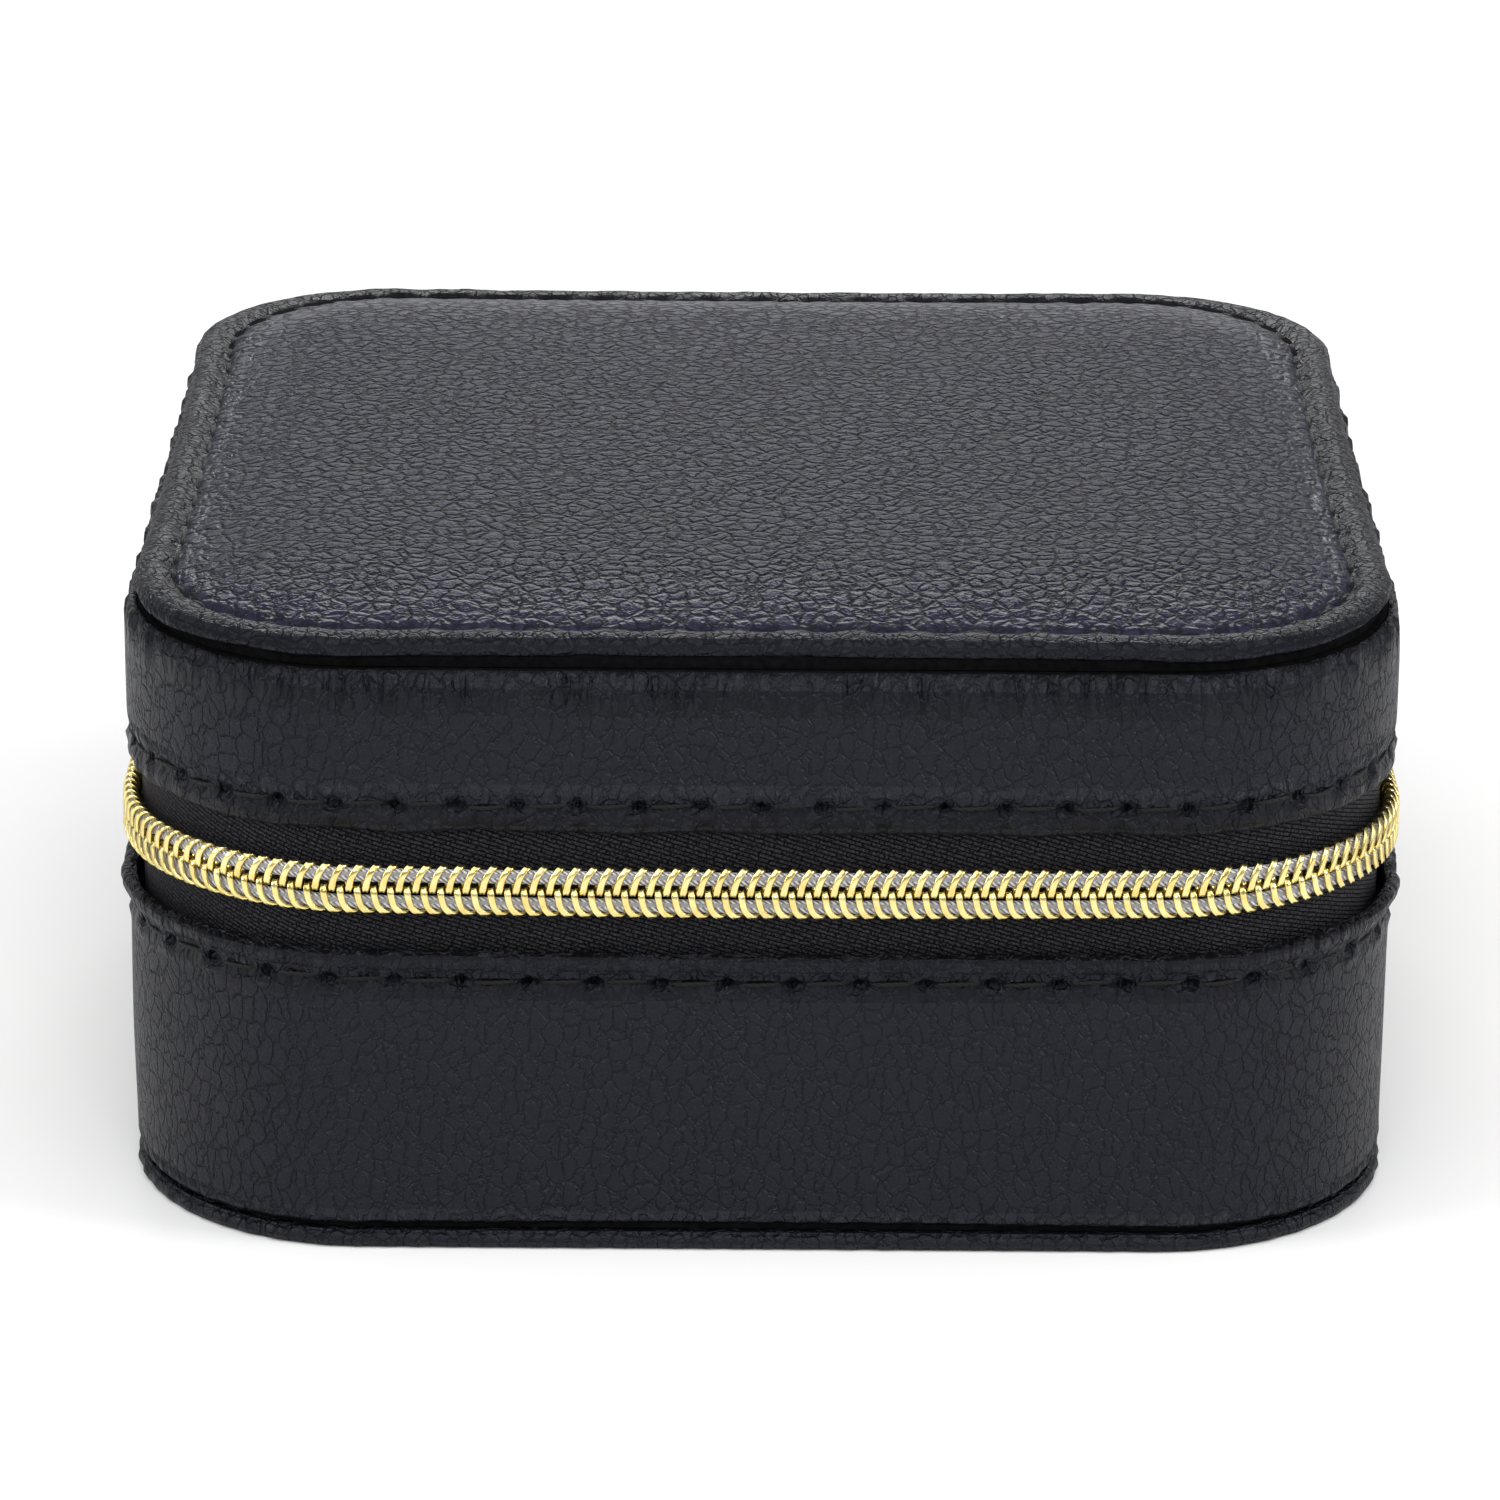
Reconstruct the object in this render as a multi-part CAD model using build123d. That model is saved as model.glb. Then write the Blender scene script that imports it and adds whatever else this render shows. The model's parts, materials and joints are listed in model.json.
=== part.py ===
"""Square leather jewellery case with rounded corners, closed by a coil zip on three sides.

Millimetres. X is the width, the front is at -Y, +Z is up and the case stands on Z = 0.
Insets are measured inwards from the outer face of the side walls.
"""

import os

from build123d import *

# Outline of the walls
WIDTH = 100.0
DEPTH = 98.0
CORNER = 19.0
FLAT_X = WIDTH / 2 - CORNER
FLAT_Y = DEPTH / 2 - CORNER

# Heights
BOTTOM_PANEL_TOP = 1.4
BASE_WALL_LOW = 1.6
BASE_WALL_TOP = 25.4
SPLIT_Z = 30.5
LID_WALL_LOW = 35.1
LID_WALL_TOP = 47.8
RIM_LOW = 48.2
RIM_TOP = 50.0
CASE_TOP = 52.0

# Layers of the wall, from outside to inside
LEATHER = 1.0
TAPE_OUT = 1.05
TAPE_IN = 1.65
BOARD_OUT = 1.05
BOARD_REBATE = 1.75
BOARD_IN = 2.9
LINING_OUT = 2.95
LINING_IN = 4.15
INSIDE = 4.2

# Boards and lining
BASE_FLOOR_LOW = 3.45
BASE_FLOOR_TOP = 4.6
BASE_LINING_TOP = 30.1
LID_LINING_LOW = 31.0
LID_PANEL_LOW = 46.2
LID_PANEL_TOP = 47.6

# Zip
COIL_PROUD = 0.6
COIL_HALF_WIDTH = 2.15
COIL_GAP_HALF = 0.7
TAPE_GAP_HALF = 0.6
TAPE_HIDDEN = 3.9
COIL_END_Y = 28.4
STOP_Y = 29.6
STOP_LENGTH = 1.4
TAPE_END_X = FLAT_X + 0.2
SPINE_HALF = FLAT_X - 0.1

# Slider and puller
SLIDER_Y = 24.5
SLIDER_LENGTH = 9.0
SLIDER_HALF_HEIGHT = 3.5
SLIDER_PLATE_X = 50.85
SLIDER_PLATE = 0.8
SLIDER_BACK_X = 47.4
SLIDER_BACK = 0.75
PIVOT_X = 52.45
PIVOT_Y = 25.4
BRIDGE_HALF = 2.5
BRIDGE_TOP_X = 53.9
PULLER_REACH = 18.0
PULLER_HALF_WIDTH = 2.5
PULLER_THICKNESS = 1.0

# Stitch rows
BASE_STITCH_Z = 22.93
LID_STITCH_Z = 37.24
STITCH_HALF = 0.3
SEAM_INSET = 3.64

# Inside of the base
PARTITION_HALF = 1.2
PARTITION_TOP = 21.5
ROLL_COUNT = 6
ROLL_PITCH = 14.9
ROLL_RADIUS = 7.25
ROLL_AXIS_Z = 11.4
DIVIDER_Y = 15.0
DIVIDER_HALF = 1.3
DIVIDER_LOW = 4.8
DIVIDER_TOP = 20.2

# Inside of the lid
POCKET_FRONT_Y = 5.0
POCKET_LOW = 40.4
POCKET_FABRIC = 0.8
HEM_DEPTH = 2.6
HOOK_X = 24.0
HOOK_HALF = 4.5
HOOK_ROOT_Y = -39.6
HOOK_LENGTH = 13.0
HOOK_LOW = 44.4
HOOK_THICKNESS = 1.0
SNAP_Y = -30.0


def slab(inset, low, high):
    """Slab with the outline of the case, inset from the outer face of the walls."""
    outline = RectangleRounded(WIDTH - 2 * inset, DEPTH - 2 * inset, CORNER - inset)
    return Pos(0, 0, low) * extrude(outline, high - low)


def ring(outside, inside, low, high):
    """Closed band that follows the walls between two insets."""
    return slab(outside, low, high) - slab(inside, low - 1, high + 1)


def block(x, y, z):
    """Box from three (low, high) pairs."""
    size = (x[1] - x[0], y[1] - y[0], z[1] - z[0])
    centre = ((x[1] + x[0]) / 2, (y[1] + y[0]) / 2, (z[1] + z[0]) / 2)
    return Pos(*centre) * Box(*size)


def behind(y, low, high):
    """Everything behind a plane, to cut a band short."""
    return block((-80, 80), (y, 80), (low - 1, high + 1))


def rear_gap(half, low, high):
    """The straight middle of the rear wall."""
    return block((-half, half), (30, 80), (low - 1, high + 1))


def stitch_groove(height):
    """Shallow channel that a row of stitches lies in."""
    return ring(-1.0, 0.4, height - STITCH_HALF - 0.05, height + STITCH_HALF + 0.05)


def stitch_row(height):
    """Thread of a row of stitches, just under the face of the leather."""
    return ring(0.05, 0.35, height - STITCH_HALF, height + STITCH_HALF)


def base_bottom_leather():
    """Bottom panel with turned edges."""
    panel = slab(0.9, 0.0, BOTTOM_PANEL_TOP)
    return fillet(panel.edges().group_by(Axis.Z)[0], 0.6)


def base_bottom_board():
    return slab(1.1, BOTTOM_PANEL_TOP + 0.05, BASE_FLOOR_LOW - 0.05)


def base_wall_leather():
    """Leather band of the base, with a rolled top edge."""
    band = ring(0.0, LEATHER, BASE_WALL_LOW, BASE_WALL_TOP)
    band = fillet(band.edges().group_by(Axis.Z)[-1], 0.4)
    return band - stitch_groove(BASE_STITCH_Z)


def base_wall_board():
    """Board wall, thinner behind the zip tape."""
    step = BASE_WALL_TOP - TAPE_HIDDEN - 0.3
    low = ring(BOARD_OUT, BOARD_IN, BASE_FLOOR_LOW, step)
    high = ring(BOARD_REBATE, BOARD_IN, BASE_FLOOR_LOW, BASE_WALL_TOP - 0.4)
    return low + high


def base_lining_wall():
    """Velvet-covered inner wall that stands up behind the zip."""
    wall = ring(LINING_OUT, LINING_IN, BASE_FLOOR_LOW, BASE_LINING_TOP)
    return fillet(wall.edges().group_by(Axis.Z)[-1], 0.4)


def base_lining_floor():
    return slab(INSIDE, BASE_FLOOR_LOW, BASE_FLOOR_TOP)


def partition():
    """Padded wall between the ring rolls and the open compartments."""
    reach = DEPTH / 2 - INSIDE - 0.1
    x = (-PARTITION_HALF, PARTITION_HALF)
    wall = block(x, (-reach, reach), (BASE_FLOOR_TOP, PARTITION_TOP))
    return fillet(wall.edges().group_by(Axis.Z)[-1].filter_by(Axis.Y), 0.9)


def ring_roll(index):
    """Foam roll with a domed top, cut to the rounded corner where it meets one."""
    y = (index - (ROLL_COUNT - 1) / 2) * ROLL_PITCH
    height = (BASE_FLOOR_TOP + ROLL_AXIS_Z) / 2
    foot = Pos(y, height) * Rectangle(2 * ROLL_RADIUS, ROLL_AXIS_Z - BASE_FLOOR_TOP)
    dome = Pos(y, ROLL_AXIS_Z) * Circle(ROLL_RADIUS)
    profile = Plane.YZ * (foot + dome)
    length = WIDTH / 2 - INSIDE - PARTITION_HALF - 0.1
    bar = Pos(-PARTITION_HALF - 0.1 - length, 0, 0) * extrude(profile, length)
    return bar & slab(INSIDE + 0.15, BASE_FLOOR_TOP, 25.0)


def divider(y):
    """Loose padded divider that stands across the right-hand bay."""
    x = (PARTITION_HALF + 0.3, WIDTH / 2 - LINING_IN - 0.3)
    panel = block(x, (y - DIVIDER_HALF, y + DIVIDER_HALF), (DIVIDER_LOW, DIVIDER_TOP))
    return fillet(panel.edges().group_by(Axis.Z)[-1].filter_by(Axis.X), 1.0)


def zip_tape_lower():
    low = BASE_WALL_TOP - TAPE_HIDDEN
    high = SPLIT_Z - TAPE_GAP_HALF
    return ring(TAPE_OUT, TAPE_IN, low, high) - rear_gap(TAPE_END_X, low, high)


def zip_tape_upper():
    low = SPLIT_Z + TAPE_GAP_HALF
    high = LID_WALL_LOW + TAPE_HIDDEN
    return ring(TAPE_OUT, TAPE_IN, low, high) - rear_gap(TAPE_END_X, low, high)


def zip_coil_lower():
    """Lower row of teeth, a plain bead on the outside of its tape."""
    low = SPLIT_Z - COIL_HALF_WIDTH
    high = SPLIT_Z - COIL_GAP_HALF
    return ring(-COIL_PROUD, TAPE_OUT, low, high) - behind(COIL_END_Y, low, high)


def zip_coil_upper():
    """Upper row of teeth, which stops short of the slider's parking place."""
    low = SPLIT_Z + COIL_GAP_HALF
    high = SPLIT_Z + COIL_HALF_WIDTH
    parked = SLIDER_Y - SLIDER_LENGTH / 2 - 0.4
    slider_space = block((40, 80), (parked, 80), (low - 1, high + 1))
    row = ring(-COIL_PROUD, TAPE_OUT, low, high)
    return row - behind(COIL_END_Y, low, high) - slider_space


def zip_stop(side, low, high):
    """End stop clamped on one tape behind the last tooth."""
    face = side * (WIDTH / 2 - TAPE_OUT)
    edge = side * (WIDTH / 2 + COIL_PROUD)
    x = (min(face, edge), max(face, edge))
    return block(x, (STOP_Y, STOP_Y + STOP_LENGTH), (low, high))


def zip_stop_lower():
    low = SPLIT_Z - COIL_HALF_WIDTH
    high = SPLIT_Z - COIL_GAP_HALF
    return Compound([zip_stop(-1, low, high), zip_stop(1, low, high)])


def zip_stop_upper():
    low = SPLIT_Z + COIL_GAP_HALF
    high = SPLIT_Z + COIL_HALF_WIDTH
    return Compound([zip_stop(-1, low, high), zip_stop(1, low, high)])


def zip_slider():
    """Cast slider: outer plate with lips, back plate, centre post and bridge."""
    y = (SLIDER_Y - SLIDER_LENGTH / 2, SLIDER_Y + SLIDER_LENGTH / 2)
    z = (SPLIT_Z - SLIDER_HALF_HEIGHT, SPLIT_Z + SLIDER_HALF_HEIGHT)
    plate = block((SLIDER_PLATE_X, SLIDER_PLATE_X + SLIDER_PLATE), y, z)
    plate = fillet(plate.edges().filter_by(Axis.X), 1.2)
    back = block((SLIDER_BACK_X, SLIDER_BACK_X + SLIDER_BACK), y, z)
    back = fillet(back.edges().filter_by(Axis.X), 1.2)
    lip_y = (y[0] + 1.2, y[1] - 1.2)
    lip_x = (WIDTH / 2 - 0.75, SLIDER_PLATE_X)
    lower_lip = block(lip_x, lip_y, (z[0], z[0] + 0.95))
    upper_lip = block(lip_x, lip_y, (z[1] - 0.95, z[1]))
    post_x = (SLIDER_BACK_X + SLIDER_BACK, SLIDER_PLATE_X)
    post = block(post_x, (y[1] - 2.0, y[1] - 0.4), (SPLIT_Z - 0.45, SPLIT_Z + 0.45))
    return plate + back + lower_lip + upper_lip + post + slider_bridge()


def slider_bridge():
    """Arch on the slider that the puller's bar runs under."""
    foot_x = SLIDER_PLATE_X + SLIDER_PLATE
    y = (PIVOT_Y - BRIDGE_HALF, PIVOT_Y + BRIDGE_HALF)
    arch = block((foot_x, BRIDGE_TOP_X), y, (SPLIT_Z - 0.9, SPLIT_Z + 0.9))
    arch = fillet(arch.edges().filter_by(Axis.Z).group_by(Axis.X)[-1], 0.6)
    tunnel_y = (y[0] + 0.8, y[1] - 0.8)
    tunnel = block((foot_x, BRIDGE_TOP_X - 0.7), tunnel_y, (SPLIT_Z - 2, SPLIT_Z + 2))
    return arch - tunnel


def zip_puller():
    """Flat puller with a slot at one end and a bar that turns under the bridge."""
    x = (PIVOT_X - PULLER_THICKNESS / 2, PIVOT_X + PULLER_THICKNESS / 2)
    y = (PIVOT_Y - 0.5, PIVOT_Y + PULLER_REACH)
    tab = block(x, y, (SPLIT_Z - PULLER_HALF_WIDTH, SPLIT_Z + PULLER_HALF_WIDTH))
    far_corners = tab.edges().filter_by(Axis.X).group_by(Axis.Y)[-1]
    tab = fillet(far_corners, 1.8)
    slot = block((40, 60), (PIVOT_Y - 2, PIVOT_Y + 3.2), (SPLIT_Z - 1.2, SPLIT_Z + 1.2))
    bar = Pos(PIVOT_X, PIVOT_Y, SPLIT_Z) * Cylinder(PULLER_THICKNESS / 2, 3.0)
    return tab - slot + bar


def lid_wall_leather():
    """Leather band of the lid."""
    band = ring(0.0, LEATHER, LID_WALL_LOW, LID_WALL_TOP)
    band = fillet(band.edges().group_by(Axis.Z)[0], 0.4)
    return band - stitch_groove(LID_STITCH_Z)


def lid_wall_board():
    """Board wall of the lid, thinner behind the zip tape."""
    step = LID_WALL_LOW + TAPE_HIDDEN + 0.3
    high = ring(BOARD_OUT, BOARD_IN, step, LID_WALL_TOP - 0.05)
    low = ring(BOARD_REBATE, BOARD_IN, LID_WALL_LOW + 0.4, LID_WALL_TOP - 0.05)
    return low + high


def lid_top_board():
    return slab(1.6, LID_WALL_TOP + 0.05, RIM_LOW + 1.2)


def padding(clearance):
    """Space for the foam under the top panel, or the foam itself with a clearance."""
    pad = slab(4.9 + clearance, RIM_LOW + 1.2, CASE_TOP - 0.8 - clearance)
    return fillet(pad.edges().group_by(Axis.Z)[-1], 1.2)


def lid_top_leather():
    """Crowned top panel with a turned rim outside the sewn groove."""
    rim = slab(0.5, RIM_LOW, RIM_TOP)
    rim = fillet(rim.edges().group_by(Axis.Z)[-1], 0.8)
    crown = slab(4.0, RIM_LOW, CASE_TOP)
    crown = fillet(crown.edges().group_by(Axis.Z)[-1], 1.5)
    groove = ring(SEAM_INSET - 0.2, SEAM_INSET + 0.2, RIM_TOP - 0.32, RIM_TOP + 0.1)
    board_space = slab(1.6, RIM_LOW - 1, RIM_LOW + 1.2)
    return rim - groove + crown - board_space - padding(0.0)


def lid_seam_stitch():
    """Thread at the bottom of the sewn groove round the top panel."""
    return ring(SEAM_INSET - 0.15, SEAM_INSET + 0.15, RIM_TOP - 0.27, RIM_TOP - 0.04)


def lid_lining_wall():
    """Velvet-covered inner wall of the lid, which meets the one in the base."""
    wall = ring(LINING_OUT, LINING_IN, LID_LINING_LOW, LID_PANEL_TOP)
    return fillet(wall.edges().group_by(Axis.Z)[0], 0.4)


def lid_lining_panel():
    return slab(INSIDE, LID_PANEL_LOW, LID_PANEL_TOP)


def lid_pocket():
    """Gathered pocket over the rear half of the lid, open towards the front."""
    rear = slab(INSIDE + 0.3, POCKET_LOW, LID_PANEL_LOW - 0.05)
    half = block((-60, 60), (POCKET_FRONT_Y, 60), (0, 60))
    shell = rear & half
    hollow = slab(INSIDE + 0.3 + POCKET_FABRIC, POCKET_LOW + POCKET_FABRIC, 60)
    return shell - hollow


def lid_pocket_hem():
    """Elastic hem along the mouth of the pocket."""
    reach = WIDTH / 2 - INSIDE - 0.4
    y = (POCKET_FRONT_Y - HEM_DEPTH - 0.05, POCKET_FRONT_Y - 0.05)
    z = (POCKET_LOW - 0.2, POCKET_LOW + 1.2)
    band = block((-reach, reach), y, z)
    return fillet(band.edges().filter_by(Axis.X), 0.5)


def hook_strap(x):
    """Strap that a necklace hangs on, free from its sewn root to its snap."""
    y = (HOOK_ROOT_Y, HOOK_ROOT_Y + HOOK_LENGTH)
    z = (HOOK_LOW, HOOK_LOW + HOOK_THICKNESS)
    strap = block((x - HOOK_HALF, x + HOOK_HALF), y, z)
    return fillet(strap.edges().filter_by(Axis.Z).group_by(Axis.Y)[-1], 3.5)


def hook_snap(x):
    """Cap of the snap, on the outside of the strap."""
    cap = Pos(x, SNAP_Y, HOOK_LOW - 0.5) * Cylinder(3.0, 0.9)
    return fillet(cap.edges().group_by(Axis.Z)[0], 0.4)


def hook_anchors():
    """Sewn roots of the three straps."""
    y = (HOOK_ROOT_Y - 3.4, HOOK_ROOT_Y - 0.2)
    z = (HOOK_LOW, LID_PANEL_LOW - 0.05)
    roots = []
    for x in (-HOOK_X, 0.0, HOOK_X):
        roots.append(block((x - HOOK_HALF, x + HOOK_HALF), y, z))
    return Compound(roots)


def hook_studs():
    """Studs of the three snaps, fixed to the lid panel."""
    height = 0.55
    studs = []
    for x in (-HOOK_X, 0.0, HOOK_X):
        stud = Pos(x, SNAP_Y, LID_PANEL_LOW - height / 2 - 0.02) * Cylinder(2.2, height)
        studs.append(stud)
    return Compound(studs)


def spine_leather():
    """Flexible leather strip that hinges the lid, behind the edges of both bands."""
    low = BASE_WALL_TOP - TAPE_HIDDEN
    high = LID_WALL_LOW + TAPE_HIDDEN
    band = ring(TAPE_OUT, TAPE_IN, low, high)
    return band & block((-SPINE_HALF, SPINE_HALF), (30, 80), (low - 1, high + 1))


def save(name, shape):
    export_step(shape, f"parts/{name}.step")


os.makedirs("parts", exist_ok=True)

save("base_bottom_leather", base_bottom_leather())
save("base_bottom_board", base_bottom_board())
save("base_wall_leather", base_wall_leather())
save("base_wall_board", base_wall_board())
save("base_wall_stitch", stitch_row(BASE_STITCH_Z))
save("base_lining_wall", base_lining_wall())
save("base_lining_floor", base_lining_floor())
save("partition", partition())
for index in range(ROLL_COUNT):
    save(f"ring_roll_{index + 1}", ring_roll(index))
save("divider_front", divider(-DIVIDER_Y))
save("divider_rear", divider(DIVIDER_Y))
save("spine_leather", spine_leather())

save("zip_tape_lower", zip_tape_lower())
save("zip_tape_upper", zip_tape_upper())
save("zip_coil_lower", zip_coil_lower())
save("zip_coil_upper", zip_coil_upper())
save("zip_stop_lower", zip_stop_lower())
save("zip_stop_upper", zip_stop_upper())
save("zip_slider", zip_slider())
save("zip_puller", zip_puller())

save("lid_wall_leather", lid_wall_leather())
save("lid_wall_board", lid_wall_board())
save("lid_wall_stitch", stitch_row(LID_STITCH_Z))
save("lid_top_board", lid_top_board())
save("lid_top_foam", padding(0.05))
save("lid_top_leather", lid_top_leather())
save("lid_seam_stitch", lid_seam_stitch())
save("lid_lining_wall", lid_lining_wall())
save("lid_lining_panel", lid_lining_panel())
save("lid_pocket", lid_pocket())
save("lid_pocket_hem", lid_pocket_hem())
save("hook_anchors", hook_anchors())
save("hook_studs", hook_studs())
for side, x in (("left", -HOOK_X), ("middle", 0.0), ("right", HOOK_X)):
    save(f"hook_strap_{side}", hook_strap(x))
    save(f"hook_snap_{side}", hook_snap(x))
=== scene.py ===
"""Looks of the zip-up leather jewellery case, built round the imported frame.

Lengths are millimetres while a shape is worked out and become metres in the mesh.
"Out" is the distance outwards from the outer face of the walls; s runs once round them,
from the middle of the rear wall along the left side, the front and the right side.
"""

import json
import math

import bmesh
import bpy
import numpy as np
from mathutils import Matrix, Vector


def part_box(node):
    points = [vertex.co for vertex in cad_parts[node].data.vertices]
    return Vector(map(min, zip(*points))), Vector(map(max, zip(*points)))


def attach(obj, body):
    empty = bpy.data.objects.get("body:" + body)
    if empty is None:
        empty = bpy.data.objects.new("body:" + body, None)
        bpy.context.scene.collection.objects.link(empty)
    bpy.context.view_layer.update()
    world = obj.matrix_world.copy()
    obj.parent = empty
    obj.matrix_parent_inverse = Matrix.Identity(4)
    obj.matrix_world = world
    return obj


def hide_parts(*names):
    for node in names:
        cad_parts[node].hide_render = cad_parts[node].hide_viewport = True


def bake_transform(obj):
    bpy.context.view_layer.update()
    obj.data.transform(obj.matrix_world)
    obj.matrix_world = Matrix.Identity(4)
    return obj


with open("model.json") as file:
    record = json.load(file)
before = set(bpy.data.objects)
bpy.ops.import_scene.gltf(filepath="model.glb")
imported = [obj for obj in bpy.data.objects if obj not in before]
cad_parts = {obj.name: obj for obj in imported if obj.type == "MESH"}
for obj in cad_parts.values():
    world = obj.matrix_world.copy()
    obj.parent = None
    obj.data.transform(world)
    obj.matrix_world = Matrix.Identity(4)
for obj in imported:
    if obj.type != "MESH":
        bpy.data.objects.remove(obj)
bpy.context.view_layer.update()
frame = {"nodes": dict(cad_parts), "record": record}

MM = 0.001


def box_mm(node):
    """Lowest and highest corner of a CAD node, in millimetres."""
    low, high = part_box(node)
    return np.array(low) / MM, np.array(high) / MM


WALL_LOW, WALL_HIGH = box_mm("base_wall_leather")
LID_LOW, LID_HIGH = box_mm("lid_wall_leather")
PLATE_LOW, PLATE_HIGH = box_mm("lid_top_leather")

# Plan of the walls: size, corner radius, half lengths of the straight runs, length of an
# arc, length all round, and where the left side starts and the right side ends.
WIDTH = WALL_HIGH[0] - WALL_LOW[0]
DEPTH = WALL_HIGH[1] - WALL_LOW[1]
CORNER = 19.0
FLAT_X = WIDTH / 2 - CORNER
FLAT_Y = DEPTH / 2 - CORNER
ARC = math.pi * CORNER / 2
AROUND = 4 * FLAT_X + 4 * FLAT_Y + 4 * ARC
LEFT_START = FLAT_X + ARC
RIGHT_END = AROUND - FLAT_X - ARC

# Height where the lid parts from the base, and heights and pitches of the stitch rows.
SPLIT_Z = 30.5
STITCH_BASE_Z = 22.93
STITCH_LID_Z = 37.24
BASE_PITCH = AROUND / round(AROUND / 5.15)
LID_PITCH = AROUND / round(AROUND / 4.65)


# ---------------------------------------------------------------- path round the walls


def walls_at(s):
    """Points (x, y) on the outer face of the walls and outward normals, at distances s.

    The centre of the arcs travels along the straight runs, and the normal turns a
    quarter round after each of them.
    """
    s = np.mod(np.asarray(s, float), AROUND)
    x, y, angle = 0 * s, 0 * s + FLAT_Y, 0 * s + math.pi / 2
    start = 0.0
    straights = [(2 * FLAT_Y, 0, -1), (2 * FLAT_X, 1, 0), (2 * FLAT_Y, 0, 1), (FLAT_X, -1, 0)]
    for length, step_x, step_y in [(FLAT_X, -1, 0), *straights]:
        along = np.clip(s - start, 0, length)
        x, y = x + step_x * along, y + step_y * along
        angle = angle + np.clip(s - start - length, 0, ARC) / CORNER
        start += length + ARC
    nx, ny = np.cos(angle), np.sin(angle)
    return x + CORNER * nx, y + CORNER * ny, nx, ny


def place(s, out, z):
    """Points in millimetres at distances s round the walls, out from them, at heights z."""
    x, y, nx, ny = walls_at(s)
    return np.stack([x + nx * out, y + ny * out, z + 0 * x], -1)


def wobble(s, wave, seed):
    """Smooth random line from about -1 to 1 that closes on itself round the walls."""
    rng = np.random.default_rng(seed)
    spread, count = 0.35, 9
    total = 0.0
    for _ in range(count):
        turns = max(1, round(AROUND / wave * (1 + spread * rng.uniform(-1, 1))))
        total = total + np.cos(2 * math.pi * turns * s / AROUND + rng.uniform(0, 6.28))
    return total / math.sqrt(count)


def ease(t):
    """0 below 0, 1 above 1, and a smooth rise between."""
    t = np.clip(t, 0, 1)
    return t * t * (3 - 2 * t)


def side_middle(s):
    """1 at the middle of each side, falling to 0 at the corners."""
    x, y, _, _ = walls_at(s)
    along = np.minimum(np.abs(x) / (WIDTH / 2), np.abs(y) / (DEPTH / 2)) / 0.86
    return np.clip(1 - along**2, 0, 1)


def front_only(s):
    """1 along the front, falling to 0 round the front corners."""
    return ease((-walls_at(s)[1] - 26) / 18)


def near(value, centre, width):
    """Bell curve, 1 at the centre."""
    return np.exp(-(((value - centre) / width) ** 2))


def settle(s, out, z):
    """The soft walls sag a little along the front: the rim swells and the foot pulls in."""
    share = side_middle(s) * front_only(s)
    belt = near(z, 27.0, 9.0)
    foot = near(z, 1.0, 7.0)
    out = out + share * (0.35 * belt - 0.35 * foot)
    z = z - share * (0.35 * belt - 0.2 * foot)
    return out, z


# ---------------------------------------------------------------- mesh helpers


def add_object(name, data):
    """Links a new object with this mesh, light or camera."""
    obj = bpy.data.objects.new(name, data)
    bpy.context.scene.collection.objects.link(obj)
    return obj


def smooth(obj):
    """Shades every face as smooth."""
    obj.data.polygons.foreach_set("use_smooth", [True] * len(obj.data.polygons))
    return obj


def read_points(obj):
    """The points of a mesh, in millimetres."""
    co = np.zeros(len(obj.data.vertices) * 3)
    obj.data.vertices.foreach_get("co", co)
    return co.reshape(-1, 3) / MM


def write_points(obj, points):
    obj.data.vertices.foreach_set("co", (points * MM).ravel())
    obj.data.update()


def make_mesh(name, points, faces, uvs=None):
    """Mesh object from points in millimetres. uvs is one (u, v) per point."""
    mesh = bpy.data.meshes.new(name)
    mesh.from_pydata((np.asarray(points) * MM).tolist(), [], faces)
    if uvs is not None:
        layer = mesh.uv_layers.new(name="UVMap")
        loops = np.zeros(len(mesh.loops), np.int32)
        mesh.loops.foreach_get("vertex_index", loops)
        layer.data.foreach_set("uv", np.asarray(uvs, float)[loops].ravel())
    mesh.validate()
    return smooth(add_object(name, mesh))


def grid_faces(rows, columns, wrap_rows, wrap_columns, offset=0, flip=False):
    """Quads of a grid whose point (i, j) is number i * columns + j."""
    i = np.arange(rows if wrap_rows else rows - 1)
    j = np.arange(columns if wrap_columns else columns - 1)
    a, b = np.meshgrid(i, j, indexing="ij")
    a2, b2 = (a + 1) % rows, (b + 1) % columns
    quads = np.stack([a * columns + b, a2 * columns + b, a2 * columns + b2, a * columns + b2], -1)
    if flip:
        quads = quads[..., ::-1]
    return (quads.reshape(-1, 4) + offset).tolist()


def fix_normals(obj):
    """Turns every face of a closed mesh outwards."""
    bm = bmesh.new()
    bm.from_mesh(obj.data)
    bmesh.ops.recalc_face_normals(bm, faces=bm.faces)
    bm.to_mesh(obj.data)
    bm.free()
    return obj


def solid(name, points, faces, uvs=None):
    return fix_normals(make_mesh(name, points, faces, uvs))


def tube_faces(rows, columns, offset=0):
    """Faces of a tube of rings, with an end face on its first and its last ring."""
    first, last = (range(k, k + columns) for k in (offset, offset + (rows - 1) * columns))
    return grid_faces(rows, columns, False, True, offset) + [list(first), list(last)[::-1]]


def closed_sheet(name, front, back):
    """Thin solid between two grids of points."""
    rows, columns = front.shape[:2]
    size = rows * columns
    faces = grid_faces(rows, columns, False, False)
    faces += grid_faces(rows, columns, False, False, size, flip=True)
    ends = [(i * columns + j, (i + 1) * columns + j) for i in range(rows - 1) for j in (0, columns - 1)]
    ends += [(i * columns + j, i * columns + j + 1) for j in range(columns - 1) for i in (0, rows - 1)]
    faces += [[a, b, b + size, a + size] for a, b in ends]
    points = np.vstack([front.reshape(-1, 3), back.reshape(-1, 3)])
    return solid(name, points, faces)


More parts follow.
